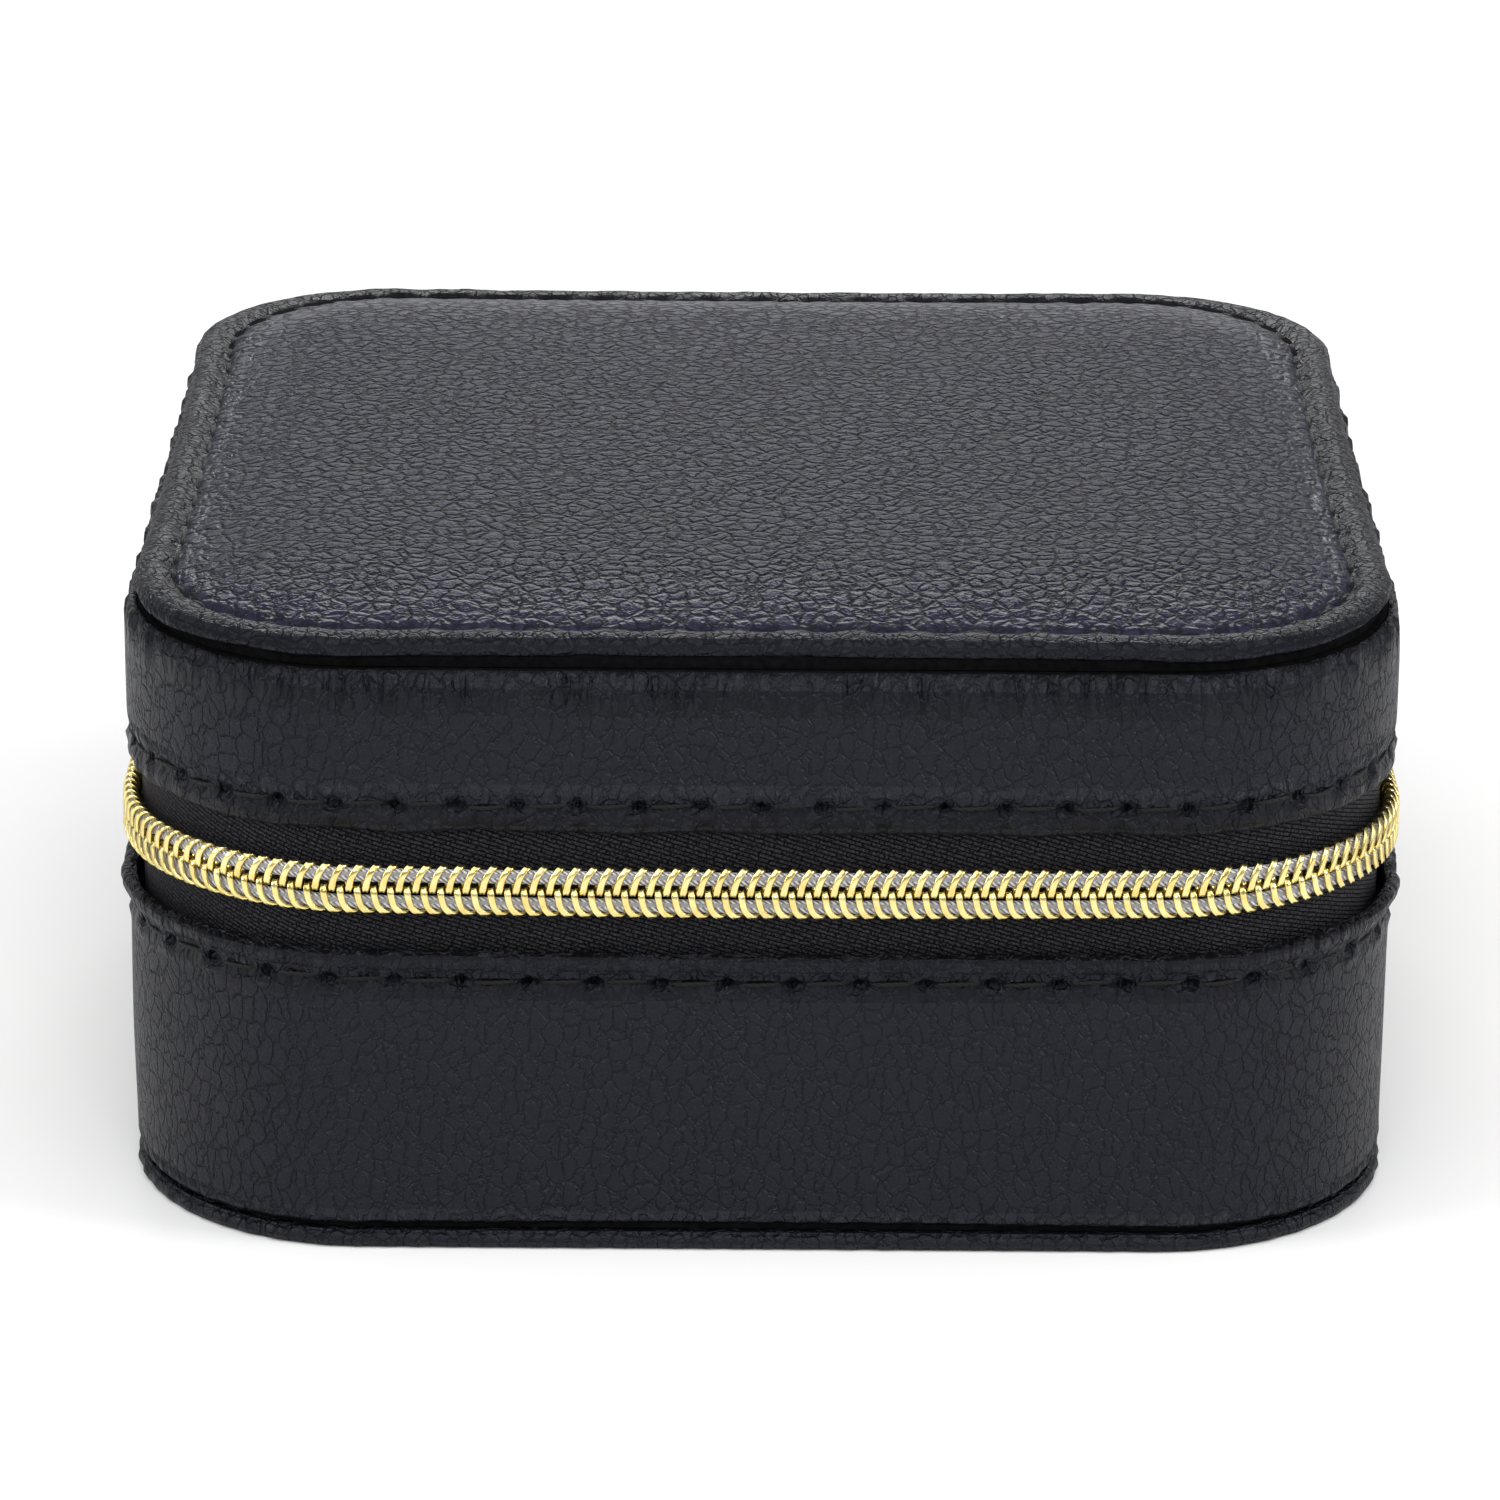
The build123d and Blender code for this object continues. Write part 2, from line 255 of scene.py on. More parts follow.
def closed_disc(name, rings, last_centre, first_centre):
    """Solid from rings round the walls, closed by a fan of faces at each end of the profile."""
    count, columns = rings.shape[:2]
    centre = count * columns
    faces = grid_faces(count, columns, True, False)
    for k in range(count):
        here, following = k * columns, (k + 1) % count * columns
        faces.append([here + columns - 1, following + columns - 1, centre])
        faces.append([following, here, centre + 1])
    points = np.vstack([rings.reshape(-1, 3), [last_centre], [first_centre]])
    return solid(name, points, faces)


def running_length(points):
    """Distance along a line of points, from its first point to each of them."""
    return np.concatenate([[0], np.cumsum(np.linalg.norm(np.diff(points, axis=0), axis=1))])


def along_walls(s, profile):
    """Grids of s, out and z that repeat a profile of (out, z) points at each distance s."""
    profile = np.asarray(profile, float)
    out, z = (np.repeat(profile[None, :, k], len(s), 0) for k in (0, 1))
    return np.repeat(s[:, None], len(profile), 1), out, z


def sweep(name, profile, s, closed_path, shape, settled=True):
    """Carries a profile of (out, z) points along the walls, bent by shape(s, out, z)."""
    ss, out, z = along_walls(s, profile)
    out, z = shape(ss, out, z)
    if settled:
        out, z = settle(ss, out, z)
    points = place(ss, out, z)
    v = np.repeat(running_length(profile)[None], len(s), 0)
    uvs = np.stack([ss, v], -1).reshape(-1, 2) * MM
    size = len(s), len(profile)
    faces = grid_faces(*size, True, True) if closed_path else tube_faces(*size)
    return solid(name, points.reshape(-1, 3), faces, uvs)


def tubes(name, lines, radius, sides=8, flat=1.0, reference=None, taper=0.0, dent=0.0):
    """Round or flattened tubes along several lines of points, in one mesh.

    reference gives the direction across which a tube is flattened, upwards by default.
    dent sinks the middle of the side that faces it. taper is how many rings at each end
    narrow to a point.
    """
    points, faces, uvs = [], [], []
    for line in lines:
        line = np.asarray(line, float)
        count = len(line)
        tangent = np.gradient(line, axis=0)
        tangent /= np.linalg.norm(tangent, axis=1, keepdims=True)
        guide = np.tile([0.0, 0.0, 1.0], (count, 1)) if reference is None else reference(line)
        first = guide - (guide * tangent).sum(1, keepdims=True) * tangent
        first /= np.linalg.norm(first, axis=1, keepdims=True) + 1e-9
        second = np.cross(tangent, first)
        angles = np.linspace(0, 2 * math.pi, sides, endpoint=False)
        size = np.full(count, radius)
        if taper:
            ends = np.minimum(np.arange(count), np.arange(count)[::-1]) / taper
            size = radius * np.sqrt(np.clip(1 - (1 - np.clip(ends, 0, 1)) ** 2, 0.02, 1))
        near_side = (np.cos(angles) - dent * (np.arange(sides) == 0)) * flat
        ring = first[:, None] * near_side[None, :, None] + second[:, None] * np.sin(angles)[None, :, None]
        ring = ring * size[:, None, None] + line[:, None]
        offset = sum(len(p) for p in points)
        points.append(ring.reshape(-1, 3))
        u = np.repeat(running_length(line)[:, None], sides, 1)
        v = np.repeat((angles * radius)[None], count, 0)
        uvs.append(np.stack([u, v], -1).reshape(-1, 2) * MM)
        faces += tube_faces(count, sides, offset)
    return solid(name, np.vstack(points), faces, np.vstack(uvs))


def finish_piece(obj, body, slot_name, *nodes, material=None, subdivide=0):
    """Gives a piece its body and a material, and hides the CAD nodes it stands for.

    The material is the one of the slot, unless another is named.
    """
    obj.data.materials.clear()
    obj.data.materials.append(material or MATERIALS[slot_name])
    if subdivide:
        modifier = obj.modifiers.new("smooth", "SUBSURF")
        modifier.levels = subdivide
        modifier.render_levels = subdivide
    if body is not None:
        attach(obj, body)
    if nodes:
        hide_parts(*nodes)
    return obj


# ---------------------------------------------------------------- materials


class Shader:
    """Short way to write a node material."""

    def __init__(self, name):
        self.material = bpy.data.materials.new(name)
        self.material.use_nodes = True
        self.tree = self.material.node_tree
        self.bsdf = self.tree.nodes["Principled BSDF"]

    def node(self, kind, inputs=None, **settings):
        made = self.tree.nodes.new(kind)
        for key, value in settings.items():
            setattr(made, key, value)
        for key, value in (inputs or {}).items():
            if hasattr(value, "is_output"):
                self.tree.links.new(value, made.inputs[key])
            else:
                made.inputs[key].default_value = value
        return made

    def where(self, kind="Object"):
        return self.node("ShaderNodeTexCoord").outputs[kind]

    def noise(self, vector, scale, detail, **more):
        inputs = {"Vector": vector, "Scale": scale, "Detail": detail, **more}
        return self.node("ShaderNodeTexNoise", inputs).outputs["Fac"]

    def cracks(self, vector, scale):
        """Distance to the nearest border between cells."""
        inputs = {"Vector": vector, "Scale": scale}
        return self.node("ShaderNodeTexVoronoi", inputs, feature="DISTANCE_TO_EDGE").outputs["Distance"]

    def turned(self, vector, angle):
        return self.node("ShaderNodeMapping", {"Vector": vector, "Rotation": (0, 0, angle)}).outputs[0]

    def vector(self, operation, a, b, key=1):
        return self.node("ShaderNodeVectorMath", {0: a, key: b}, operation=operation).outputs[0]

    def math(self, operation, a, b=0.0):
        return self.node("ShaderNodeMath", {0: a, 1: b}, operation=operation).outputs[0]

    def plus(self, a, b):
        return self.math("ADD", a, b)

    def times(self, a, b):
        return self.math("MULTIPLY", a, b)

    def spread(self, value, low, high, new_low, new_high):
        keys = {0: value, 1: low, 2: high, 3: new_low, 4: new_high}
        return self.node("ShaderNodeMapRange", keys).outputs[0]

    def link(self, value, socket):
        self.tree.links.new(value, self.bsdf.inputs[socket])

    def colour(self, value, low, dark, high, light):
        """Base colour that runs from dark to light as value goes from low to high."""
        ramp = self.node("ShaderNodeValToRGB", {"Fac": value})
        for element, position, colour in zip(ramp.color_ramp.elements, (low, high), (dark, light)):
            element.position = position
            element.color = rgba(*colour)
        self.link(ramp.outputs["Color"], "Base Color")

    def bump(self, height, strength, distance):
        """Surface relief, with the distance in millimetres."""
        inputs = {"Height": height, "Strength": strength, "Distance": distance * MM}
        self.link(self.node("ShaderNodeBump", inputs).outputs[0], "Normal")

    def constants(self, **values):
        """Constant inputs of the surface, their names written with underscores."""
        for key, value in values.items():
            self.bsdf.inputs[key.replace("_", " ")].default_value = value


def rgba(r, g, b):
    return (r, g, b, 1.0)


def leather_material(
    name, dark, light, roughness, cell, depth, crease=0.13, crease_shade=0.55, dull=0.1,
    puckers=(), tall=1.0, gloss=0.24, calm=None,
):
    """Pebbled leather: rounded cells between creases, with fine pores on top.

    cell is the width of a cell and depth the depth of its creases, both in millimetres.
    crease and dull set how wide and matt the creases are, and crease_shade how much of the
    base colour is painted shade in the creases and painted highlight on the cell tops, the
    rest being random patches. tall is how much the cells are drawn out upwards. puckers are
    (height, reach) of rows of small upright folds. calm is (low, high, share): the grain
    fades from all of its depth at the high level to this share at the low one.
    """
    sh = Shader(name)
    where = sh.where()
    warp = {"Vector": where, "Scale": 420.0, "Detail": 3.0, "Roughness": 0.7}
    warp = sh.node("ShaderNodeTexNoise", warp).outputs["Color"]
    shift = sh.vector("SCALE", sh.vector("SUBTRACT", warp, (0.5, 0.5, 0.5)), cell * 1.3 * MM, key=3)
    warped = sh.vector("ADD", sh.vector("MULTIPLY", where, (1, 1, 1 / tall)), shift)
    scale = 1000.0 / cell
    pebble = sh.spread(sh.cracks(warped, scale), 0.0, crease, 0.0, 1.0)
    fine = sh.spread(sh.cracks(warped, scale * 2.3), 0.0, 0.12, 0.0, 1.0)
    pores = sh.noise(where, 3600.0, 4.0, Roughness=0.6)
    patches = sh.noise(where, 55.0, 3.0)
    mixed = sh.plus(sh.times(pebble, 0.86), sh.times(fine, 0.14))
    height = sh.plus(mixed, sh.times(pores, 0.22))
    if calm or puckers:
        up = sh.node("ShaderNodeSeparateXYZ", {0: where}).outputs["Z"]
    if calm:
        height = sh.times(height, sh.spread(up, calm[0] * MM, calm[1] * MM, calm[2], 1.0))
    if puckers:
        folds = sh.noise(sh.vector("MULTIPLY", where, (1, 1, 0.16)), 1000.0, 1.5, Distortion=0.25)
        band = 0.0
        for level, reach in puckers:
            away = sh.math("ABSOLUTE", sh.math("SUBTRACT", up, level * MM))
            band = sh.plus(sh.spread(away, 0.0, reach * MM, 1.0, 0.0), band)
        height = sh.plus(height, sh.times(sh.times(folds, band), 9.0))
    sh.bump(height, 1.0, depth)
    # Base colour: darker in the creases as painted shade and lighter on the cell tops as painted highlight,
    # mixed with random patches.
    shade_and_patch_tone = sh.plus(sh.times(mixed, crease_shade), sh.times(patches, 1 - crease_shade))
    sh.colour(shade_and_patch_tone, 0.1, dark, 0.85, light)
    rough = sh.spread(sh.plus(patches, sh.times(pores, 0.6)), 0.4, 1.2, -0.05, 0.08)
    rough = sh.plus(rough, sh.spread(pebble, 0.0, 0.8, dull, 0.0))
    sh.link(sh.plus(rough, roughness), "Roughness")
    sh.constants(Specular_IOR_Level=gloss, Specular_Tint=rgba(0.80, 0.82, 1.0))
    return sh.material


def twill_material(name, dark, light):
    """Woven tape with slanting floats, in the length-wise coordinates of the mesh."""
    sh = Shader(name)
    uv = sh.where("UV")
    floats = {
        "Vector": sh.turned(uv, 0.30),
        "Color1": rgba(1, 1, 1),
        "Color2": rgba(0.65, 0.65, 0.65),
        "Mortar": rgba(0, 0, 0),
        "Scale": 1.0,
        "Mortar Size": 0.06 * MM,
        "Mortar Smooth": 0.8,
        "Brick Width": 1.6 * MM,
        "Row Height": 0.34 * MM,
    }
    gaps = sh.node("ShaderNodeTexBrick", floats, offset=0.42).outputs["Fac"]
    fuzz = sh.noise(uv, 5000.0, 3.0)
    weave = sh.math("SUBTRACT", 1.0, gaps)
    sh.bump(sh.plus(weave, sh.times(fuzz, 0.5)), 1.0, 0.3)
    sh.colour(sh.times(weave, fuzz), 0.36, dark, 0.66, light)
    sh.constants(Roughness=0.6, Specular_IOR_Level=0.10)
    return sh.material


def metal_material(name, colour, deep, roughness):
    """Gold-coloured metal with faint wear."""
    sh = Shader(name)
    wear = sh.noise(sh.where(), 900.0, 4.0)
    sh.colour(wear, 0.3, deep, 0.62, colour)
    sh.link(sh.spread(wear, 0.3, 0.7, roughness - 0.05, roughness + 0.1), "Roughness")
    sh.bump(wear, 0.1, 0.02)
    sh.constants(Metallic=1.0)
    return sh.material


def thread_material(name, dark, light, twist, roughness, gloss):
    """Twisted thread, its plies running slantwise along the tube."""
    sh = Shader(name)
    uv = sh.where("UV")
    plies = {"Vector": sh.turned(uv, 0.7), "Scale": twist, "Distortion": 0.6, "Detail": 1.0}
    plies = sh.node("ShaderNodeTexWave", plies).outputs["Fac"]
    mixed = sh.times(sh.plus(plies, sh.noise(uv, 6000.0, 3.0)), 0.5)
    sh.colour(mixed, 0.2, dark, 0.75, light)
    sh.bump(mixed, 0.8, 0.08)
    sh.constants(Roughness=roughness, Specular_IOR_Level=gloss)
    return sh.material


def velvet_material(name, dark, light):
    """Short pile with brushed patches and a soft sheen."""
    sh = Shader(name)
    pile = sh.noise(sh.where(), 4200.0, 3.0)
    brushed = sh.noise(sh.where(), 70.0, 4.0, Distortion=0.8)
    sh.colour(sh.plus(sh.times(pile, 0.35), sh.times(brushed, 0.65)), 0.22, dark, 0.78, light)
    sh.bump(sh.plus(pile, brushed), 0.6, 0.15)
    sh.constants(Roughness=0.95, Sheen_Weight=0.55, Sheen_Roughness=0.35, Specular_IOR_Level=0.15)
    return sh.material


def board_material(name):
    """Near-black board with flecks of fibre, or the foam, on parts that stay inside. Where it shows in the
    groove under the lid panel, its darkness is partly painted shade.
    """
    sh = Shader(name)
    fibre = sh.noise(sh.where(), 1500.0, 5.0)
    sh.colour(fibre, 0.3, (0.003, 0.003, 0.0034), 0.7, (0.008, 0.008, 0.009))
    sh.bump(fibre, 0.4, 0.08)
    sh.constants(Roughness=0.9, Specular_IOR_Level=0.03)
    return sh.material


# Heights and reaches of the puckered edges and stitch rows of the walls.
WALL_PUCKERS = ((46.6, 2.2), (STITCH_LID_Z, 1.7), (STITCH_BASE_Z, 1.7), (24.9, 1.2), (2.3, 1.0))
# The lid panel's leather is a lighter, bluer copy of the wall leather: its bright cell tops are painted sheen
# of the top under the lights.
LEATHER_TOP = leather_material(
    "lid_leather", (0.0008, 0.0008, 0.0014), (0.0088, 0.0092, 0.0260), roughness=0.30,
    cell=1.35, depth=1.05, crease=0.20, crease_shade=0.75, dull=0.26, calm=(50.5, 52.0, 0.12),
)
LEATHER_RIM = leather_material(
    "lid_rim_leather", (0.0024, 0.0025, 0.0038), (0.0080, 0.0084, 0.0125), roughness=0.42,
    cell=0.95, depth=0.26, crease=0.12, crease_shade=0.3, puckers=((48.9, 0.9),), tall=1.3, gloss=0.21,
)
SPINE = leather_material(
    "spine_leather", (0.0015, 0.0015, 0.0022), (0.0080, 0.0080, 0.0110), roughness=0.52,
    cell=1.1, depth=0.2,
)
CORD = thread_material(
    "coil_cord", (0.06, 0.06, 0.07), (0.80, 0.80, 0.85), twist=900.0, roughness=0.4, gloss=0.4
)
MATERIALS = {
    "black_leather": leather_material(
        "black_leather", (0.0014, 0.0015, 0.0025), (0.0034, 0.0036, 0.0056), roughness=0.42,
        cell=1.15, depth=0.28, crease=0.10, crease_shade=0.22, dull=0.08, puckers=WALL_PUCKERS,
        tall=1.5, gloss=0.29,
    ),
    "spine_leather": SPINE,
    "board": board_material("board"),
    "foam": board_material("foam"),
    "velvet": velvet_material("velvet", (0.135, 0.115, 0.10), (0.27, 0.235, 0.205)),
    "pocket_fabric": velvet_material("pocket_fabric", (0.12, 0.10, 0.088), (0.24, 0.205, 0.18)),
    "zip_tape": twill_material("zip_tape", (0.0003, 0.0003, 0.0005), (0.040, 0.040, 0.050)),
    "gold_coil": metal_material("gold_coil", (0.98, 0.84, 0.38), (0.80, 0.63, 0.21), 0.2),
    "gold_metal": metal_material("gold_metal", (0.95, 0.76, 0.36), (0.91, 0.70, 0.31), 0.18),
    "thread": thread_material(
        "thread", (0.0005, 0.0005, 0.0007), (0.005, 0.005, 0.006), twist=700.0, roughness=0.5, gloss=0.22
    ),
}


# ---------------------------------------------------------------- outside leather

# Distances all round the walls where the outside leather has its points, and the depth
# of the needle holes.
FULL = np.linspace(0, AROUND, 728, endpoint=False)
HOLE_DEPTH = 0.95

# The sewn groove of the lid panel, measured out from the walls and up from its low edge.
SEAM_OUT = -3.64
SEAM_RISE = 1.62

# How far the low edge of the lid panel and the top edge of the lid wall are lifted along
# the front, and how far the panel drops at the rear.
PANEL_LIFT = 0.62
WALL_LIFT = 0.68
REAR_DROP = 0.6


def stitch_dip(s, z, row_z, pitch, depth):
    """How far a row of stitches pulls the leather in.

    Each stitch pulls most at its middle. Each needle hole is a small pit with a raised
    lip on both sides, the lower one stronger.
    """
    beat = np.cos(2 * math.pi * s / pitch)
    pull = near(z, row_z, 0.75) * (0.55 - 0.2 * beat)
    along = np.abs(np.mod(s + pitch / 2, pitch) - pitch / 2)
    pit = near(along, 0, 0.5) * near(z, row_z, 0.45)
    lip = near(along, 0, 0.8) * (near(z, row_z - 0.95, 0.4) + 0.6 * near(z, row_z + 0.9, 0.4))
    return depth * pull + HOLE_DEPTH * (pit - 0.18 * lip)


def front_corners(s):
    """1 round the two front corners and the front half of the sides, falling to 0."""
    x, y, _, _ = walls_at(s)
    return ease((np.abs(x) - 34) / 14) * near(y, -26.0, 20.0)


def front_half(s):
    """1 along the front wall, falling to 0 half way along the sides."""
    return ease((5.0 - walls_at(s)[1]) / 40)


def rear_corners(s):
    """1 at the two rear corners, falling to 0."""
    s = np.mod(s, AROUND)
    corner = FLAT_X + ARC / 2
    return near(s, corner, 13.0) + near(s, AROUND - corner, 13.0)


def outer_face(out):
    """1 on the outer face of a band, 0 on its inner face."""
    return np.clip((out + 0.9) / 0.7, 0, 1)


def base_wall_shape(s, out, z):
    """Flares the lower band at the front corners and makes its edges and rows uneven."""
    outer = outer_face(out)
    low, top = WALL_LOW[2], WALL_HIGH[2]
    flare = np.clip((z - 20.0) / 5.0, 0, 1)
    out = out + 0.55 * flare * flare * front_corners(s)
    pinch = 0.049 * (wobble(s, 2.3, 11) + wobble(s, 6.0, 12))
    out = out + outer * pinch * near(z, top - 0.5, 1.5)
    out = out - outer * stitch_dip(s, z, STITCH_BASE_Z, BASE_PITCH, 0.5)
    out = out + outer * 0.10 * wobble(s, 26.0, 13) * near(z, 13.0, 9.0)
    z = z + 0.12 * wobble(s, 9.0, 14) * near(z, top, 2.5)
    out = out + outer * 0.08 * wobble(s, 3.1, 15) * near(z, low, 1.6)
    return out, z


def lid_wall_shape(s, out, z):
    """Crimps and tucks the upper band under the lid panel, and lifts it along the front."""
    outer = outer_face(out)
    low, top = LID_LOW[2], LID_HIGH[2]
    crimp = 0.13 * wobble(s, 2.8, 21) + 0.12 * wobble(s, 7.5, 22)
    out = out + outer * crimp * near(z, top - 0.6, 1.7)
    tuck = np.abs(wobble(s, 1.9, 26)) * near(z, top - 1.0, 1.6)
    out = out - outer * 0.26 * tuck
    out = out - outer * stitch_dip(s, z, STITCH_LID_Z, LID_PITCH, 0.45)
    out = out + outer * 0.09 * wobble(s, 24.0, 23) * near(z, 42.0, 5.0)
    out = out + outer * 0.10 * wobble(s, 3.0, 24) * near(z, low + 0.6, 0.9)
    z = z + WALL_LIFT * front_half(s) * near(z, top, 2.2)
    z = z + 0.10 * wobble(s, 11.0, 25) * near(z, low, 2.0)
    return out, z


def dense(profile, step):
    """Adds points so that no part of an open profile is longer than step."""
    profile = [np.array(p, float) for p in profile]
    made = [profile[0]]
    for a, b in zip(profile[:-1], profile[1:]):
        count = max(1, math.ceil(np.linalg.norm(b - a) / step))
        made += [a + (b - a) * k / count for k in range(1, count + 1)]
    return made


def dense_runs(*runs):
    """Joins runs of (points, step), each made dense, that start where the last one ended."""
    made = dense(*runs[0])
    for points, step in runs[1:]:
        made += dense([made[-1], *points], step)[1:]
    return made


def base_wall_leather():
    low, top = WALL_LOW[2], WALL_HIGH[2]
    foot = [(-0.95, low + 0.75), (-0.8, low + 0.4), (-0.4, low + 0.3), (-0.12, low + 0.6), (0.0, low + 1.2)]
    outside = dense_runs(
        (foot, 0.5),
        ([(0.0, 20.5)], 1.3),
        ([(0.0, 22.0), (0.0, 23.6), (0.2, 24.1), (0.28, 24.6)], 0.32),
        ([(0.18, 25.05), (-0.08, 25.33), (-0.45, top), (-0.8, 25.2)], 0.25),
    )
    profile = outside + [(-0.98, 24.8), (-1.0, 20.0), (-1.0, low + 1.0)]
    piece = sweep("base_leather_band", profile, FULL, True, base_wall_shape)
    return finish_piece(piece, "base", "black_leather", "base_wall_leather")


def lid_wall_leather():
    low, top = LID_LOW[2], LID_HIGH[2]
    lower_edge = [(-0.95, low + 0.5), (-0.7, low + 0.08), (-0.35, low), (-0.06, low + 0.3), (0.0, low + 0.8)]
    turned_in = [(-0.03, top - 1.5), (-0.16, top - 0.85), (-0.45, top - 0.52)]
    outside = dense_runs(
        (lower_edge, 0.3),
        ([(0.0, STITCH_LID_Z + 1.5)], 0.32),
        ([(0.0, top - 3.2)], 1.2),
        (turned_in, 0.3),
        ([(-0.9, top - 0.6), (-1.05, top - 1.1)], 0.3),
    )
    profile = outside + [(-1.06, top - 3.0), (-1.06, low + 1.2)]
    piece = sweep("lid_leather_band", profile, FULL, True, lid_wall_shape)
    return finish_piece(piece, "lid", "black_leather", "lid_wall_leather")


def plate_shape(s, out, z):
    """Pinches the lid panel in along its sides, and crimps its turned rim and the seam.

    The panel drops towards the rear. Its lower edge is lifted along the front, most of
    all at the right corner.
    """

    def border(out):
        return np.clip((out + 12) / 10, 0, 1)

    share = side_middle(s)
    z = z - REAR_DROP * ease((walls_at(s)[1] - 8) / 40)
    rim = np.clip((out + 3.2) / 1.2, 0, 1)
    out = out + 0.6 * rear_corners(s) * border(out)
    out = out - 0.7 * share * border(out)
    z = z + 0.1 * share * border(out)
    crimp = 0.035 * wobble(s, 2.6, 31) + 0.05 * wobble(s, 6.5, 32)
    low_edge = near(z, PLATE_LOW[2] + 0.7, 1.0)
    right_corner = near(s, RIGHT_END - 2 * FLAT_Y - 6.0, 11.0)
    lifted = 0.45 * right_corner + 0.12 * wobble(s, 19.0, 37) + PANEL_LIFT * front_half(s)
    z = z + lifted * near(z, PLATE_LOW[2], 0.9)
    out = out + rim * crimp * low_edge
    z = z + rim * (0.02 * wobble(s, 2.7, 33) + 0.035 * wobble(s, 8.5, 34)) * near(out, -1.6, 1.4)
    beat = np.cos(2 * math.pi * s / LID_PITCH)
    z = z - near(out, SEAM_OUT, 0.55) * (0.18 + 0.14 * beat)
    ripple = 0.045 * wobble(s, 3.2, 35) + 0.02 * wobble(s, 1.7, 36)
    z = z + ripple * near(out, -5.2, 1.5)
    return out, z


def lid_panel():
    """Crowned top panel: rim, sewn groove and padded crown, closed underneath."""
    low = PLATE_LOW[2]
    crown = PLATE_HIGH[2] + 0.4
    edge = [(-3.4, 0.1), (-1.6, 0.0), (-0.9, -0.12), (-0.6, 0.15), (-0.48, 0.8)]
    edge += [(-0.62, 1.5), (-1.05, 1.9), (-1.8, 2.12), (-2.7, 2.1), (-3.25, 1.9)]
    edge += [(SEAM_OUT, SEAM_RISE), (-4.0, 1.84), (-4.6, 2.06), (-6.0, 2.42), (-8.0, 2.84)]
    edge += [(-10.5, 3.24), (-13.0, 3.54), (-16.0, 3.78)]
    edge = np.array(dense([(out, low + rise) for out, rise in edge], 0.36))
    ss, out, z = along_walls(FULL, edge)
    rings = place(ss, *plate_shape(ss, out, z))
    inner = rings[:, -1]
    centre = np.array([0.0, 0.0, crown])
    rise = crown - inner[:, 2]
    for share in np.linspace(0, 1, 26)[1:-1]:
        ring = inner + (centre - inner) * share
        ring[:, 2] = inner[:, 2] + rise * math.sin(share * math.pi / 2)
        rings = np.concatenate([rings, ring[:, None]], 1)
    piece = closed_disc("lid_panel", rings, centre, [0, 0, low + 0.1])
    finish_piece(piece, "lid", "black_leather", "lid_top_leather", "lid_top_foam", material=LEATHER_TOP)
    piece.data.materials.append(LEATHER_RIM)
    rim_columns = int(np.argmin(np.abs(edge[:, 0] - SEAM_OUT)))
    columns = rings.shape[1] - 1
    for polygon in list(piece.data.polygons)[: len(FULL) * columns]:
        polygon.material_index = int(polygon.index % columns < rim_columns)
    return piece


def bottom_panel():
    """Underside: a turned edge, a sewn groove and a flat middle."""
    edge = dense([(-3.0, 1.3), (-0.5, 1.4), (-0.12, 1.15), (0.0, 0.6), (-0.2, 0.15), (-0.8, 0.0)], 0.3)
    edge += [(-1.9, 0.0), (-2.9, 0.03), (-3.3, 0.22), (-3.7, 0.03), (-5.0, 0.0), (-12.0, 0.0)]
    ss, out, z = along_walls(FULL, edge)
    out = out + 0.08 * front_corners(ss) * np.clip(out + 3, 0, 1)
    out = out + 0.07 * wobble(ss, 3.0, 41) * near(z, 0.7, 0.6) * np.clip(out + 3, 0, 1)
    piece = closed_disc("bottom_panel", place(ss, out, z), [0, 0, 0.0], [0, 0, 1.3])
    return finish_piece(piece, "base", "black_leather", "base_bottom_leather")


# ---------------------------------------------------------------- stitches

# Points along a stitch, from one hole to the other, and the radii of the threads.
STITCH_STEPS = np.linspace(-1, 1, 11)
THREAD_RADIUS = 0.21
SEAM_THREAD_RADIUS = 0.26


def stitch_spans(pitch, gap):
    """Distances along each stitch round the walls, starting and ending a gap from its holes."""
    for k in range(round(AROUND / pitch)):
        yield np.linspace(k * pitch + gap, (k + 1) * pitch - gap, len(STITCH_STEPS))


def stitch_lines(row_z, pitch, seed, dip):
    """One short thread between each pair of needle holes round the walls."""
    rng = np.random.default_rng(seed)
    t = STITCH_STEPS
    lines = []
    for s in stitch_spans(pitch, 0.25):
        lift = rng.normal(0, 0.05)
        z = row_z + 0.1 * rng.normal() * (1 - t * t) + lift + 0.10 * t
        out = dip - 0.75 + (1 - t**4) * (0.72 + 0.05 * rng.normal())
        lines.append(place(s, *settle(s, out, z)))
    return lines


def thread_row(name, body, row_z, pitch, seed, dip, node):
    """Row of stitches round one band, with dip as its distance out from the walls."""
    piece = tubes(name, stitch_lines(row_z, pitch, seed, dip), THREAD_RADIUS, 8, taper=3.0)
    return finish_piece(piece, body, "thread", node)


def seam_thread():
    """Threads that lie in the groove round the lid panel."""
    rng = np.random.default_rng(51)
    t = STITCH_STEPS
    lines = []
    for s in stitch_spans(LID_PITCH, 0.3):
        out, z = plate_shape(s, 0 * t + SEAM_OUT, 0 * t + PLATE_LOW[2] + SEAM_RISE)
        out = out + 0.06 * rng.normal() * (1 - t * t)
        z = z - 0.6 + 0.56 * (1 - t**4)
        lines.append(place(s, out, z))
    piece = tubes("lid_seam_thread", lines, SEAM_THREAD_RADIUS, 8, taper=3.0)
    return finish_piece(piece, "lid", "thread", "lid_seam_stitch")


# ---------------------------------------------------------------- zip

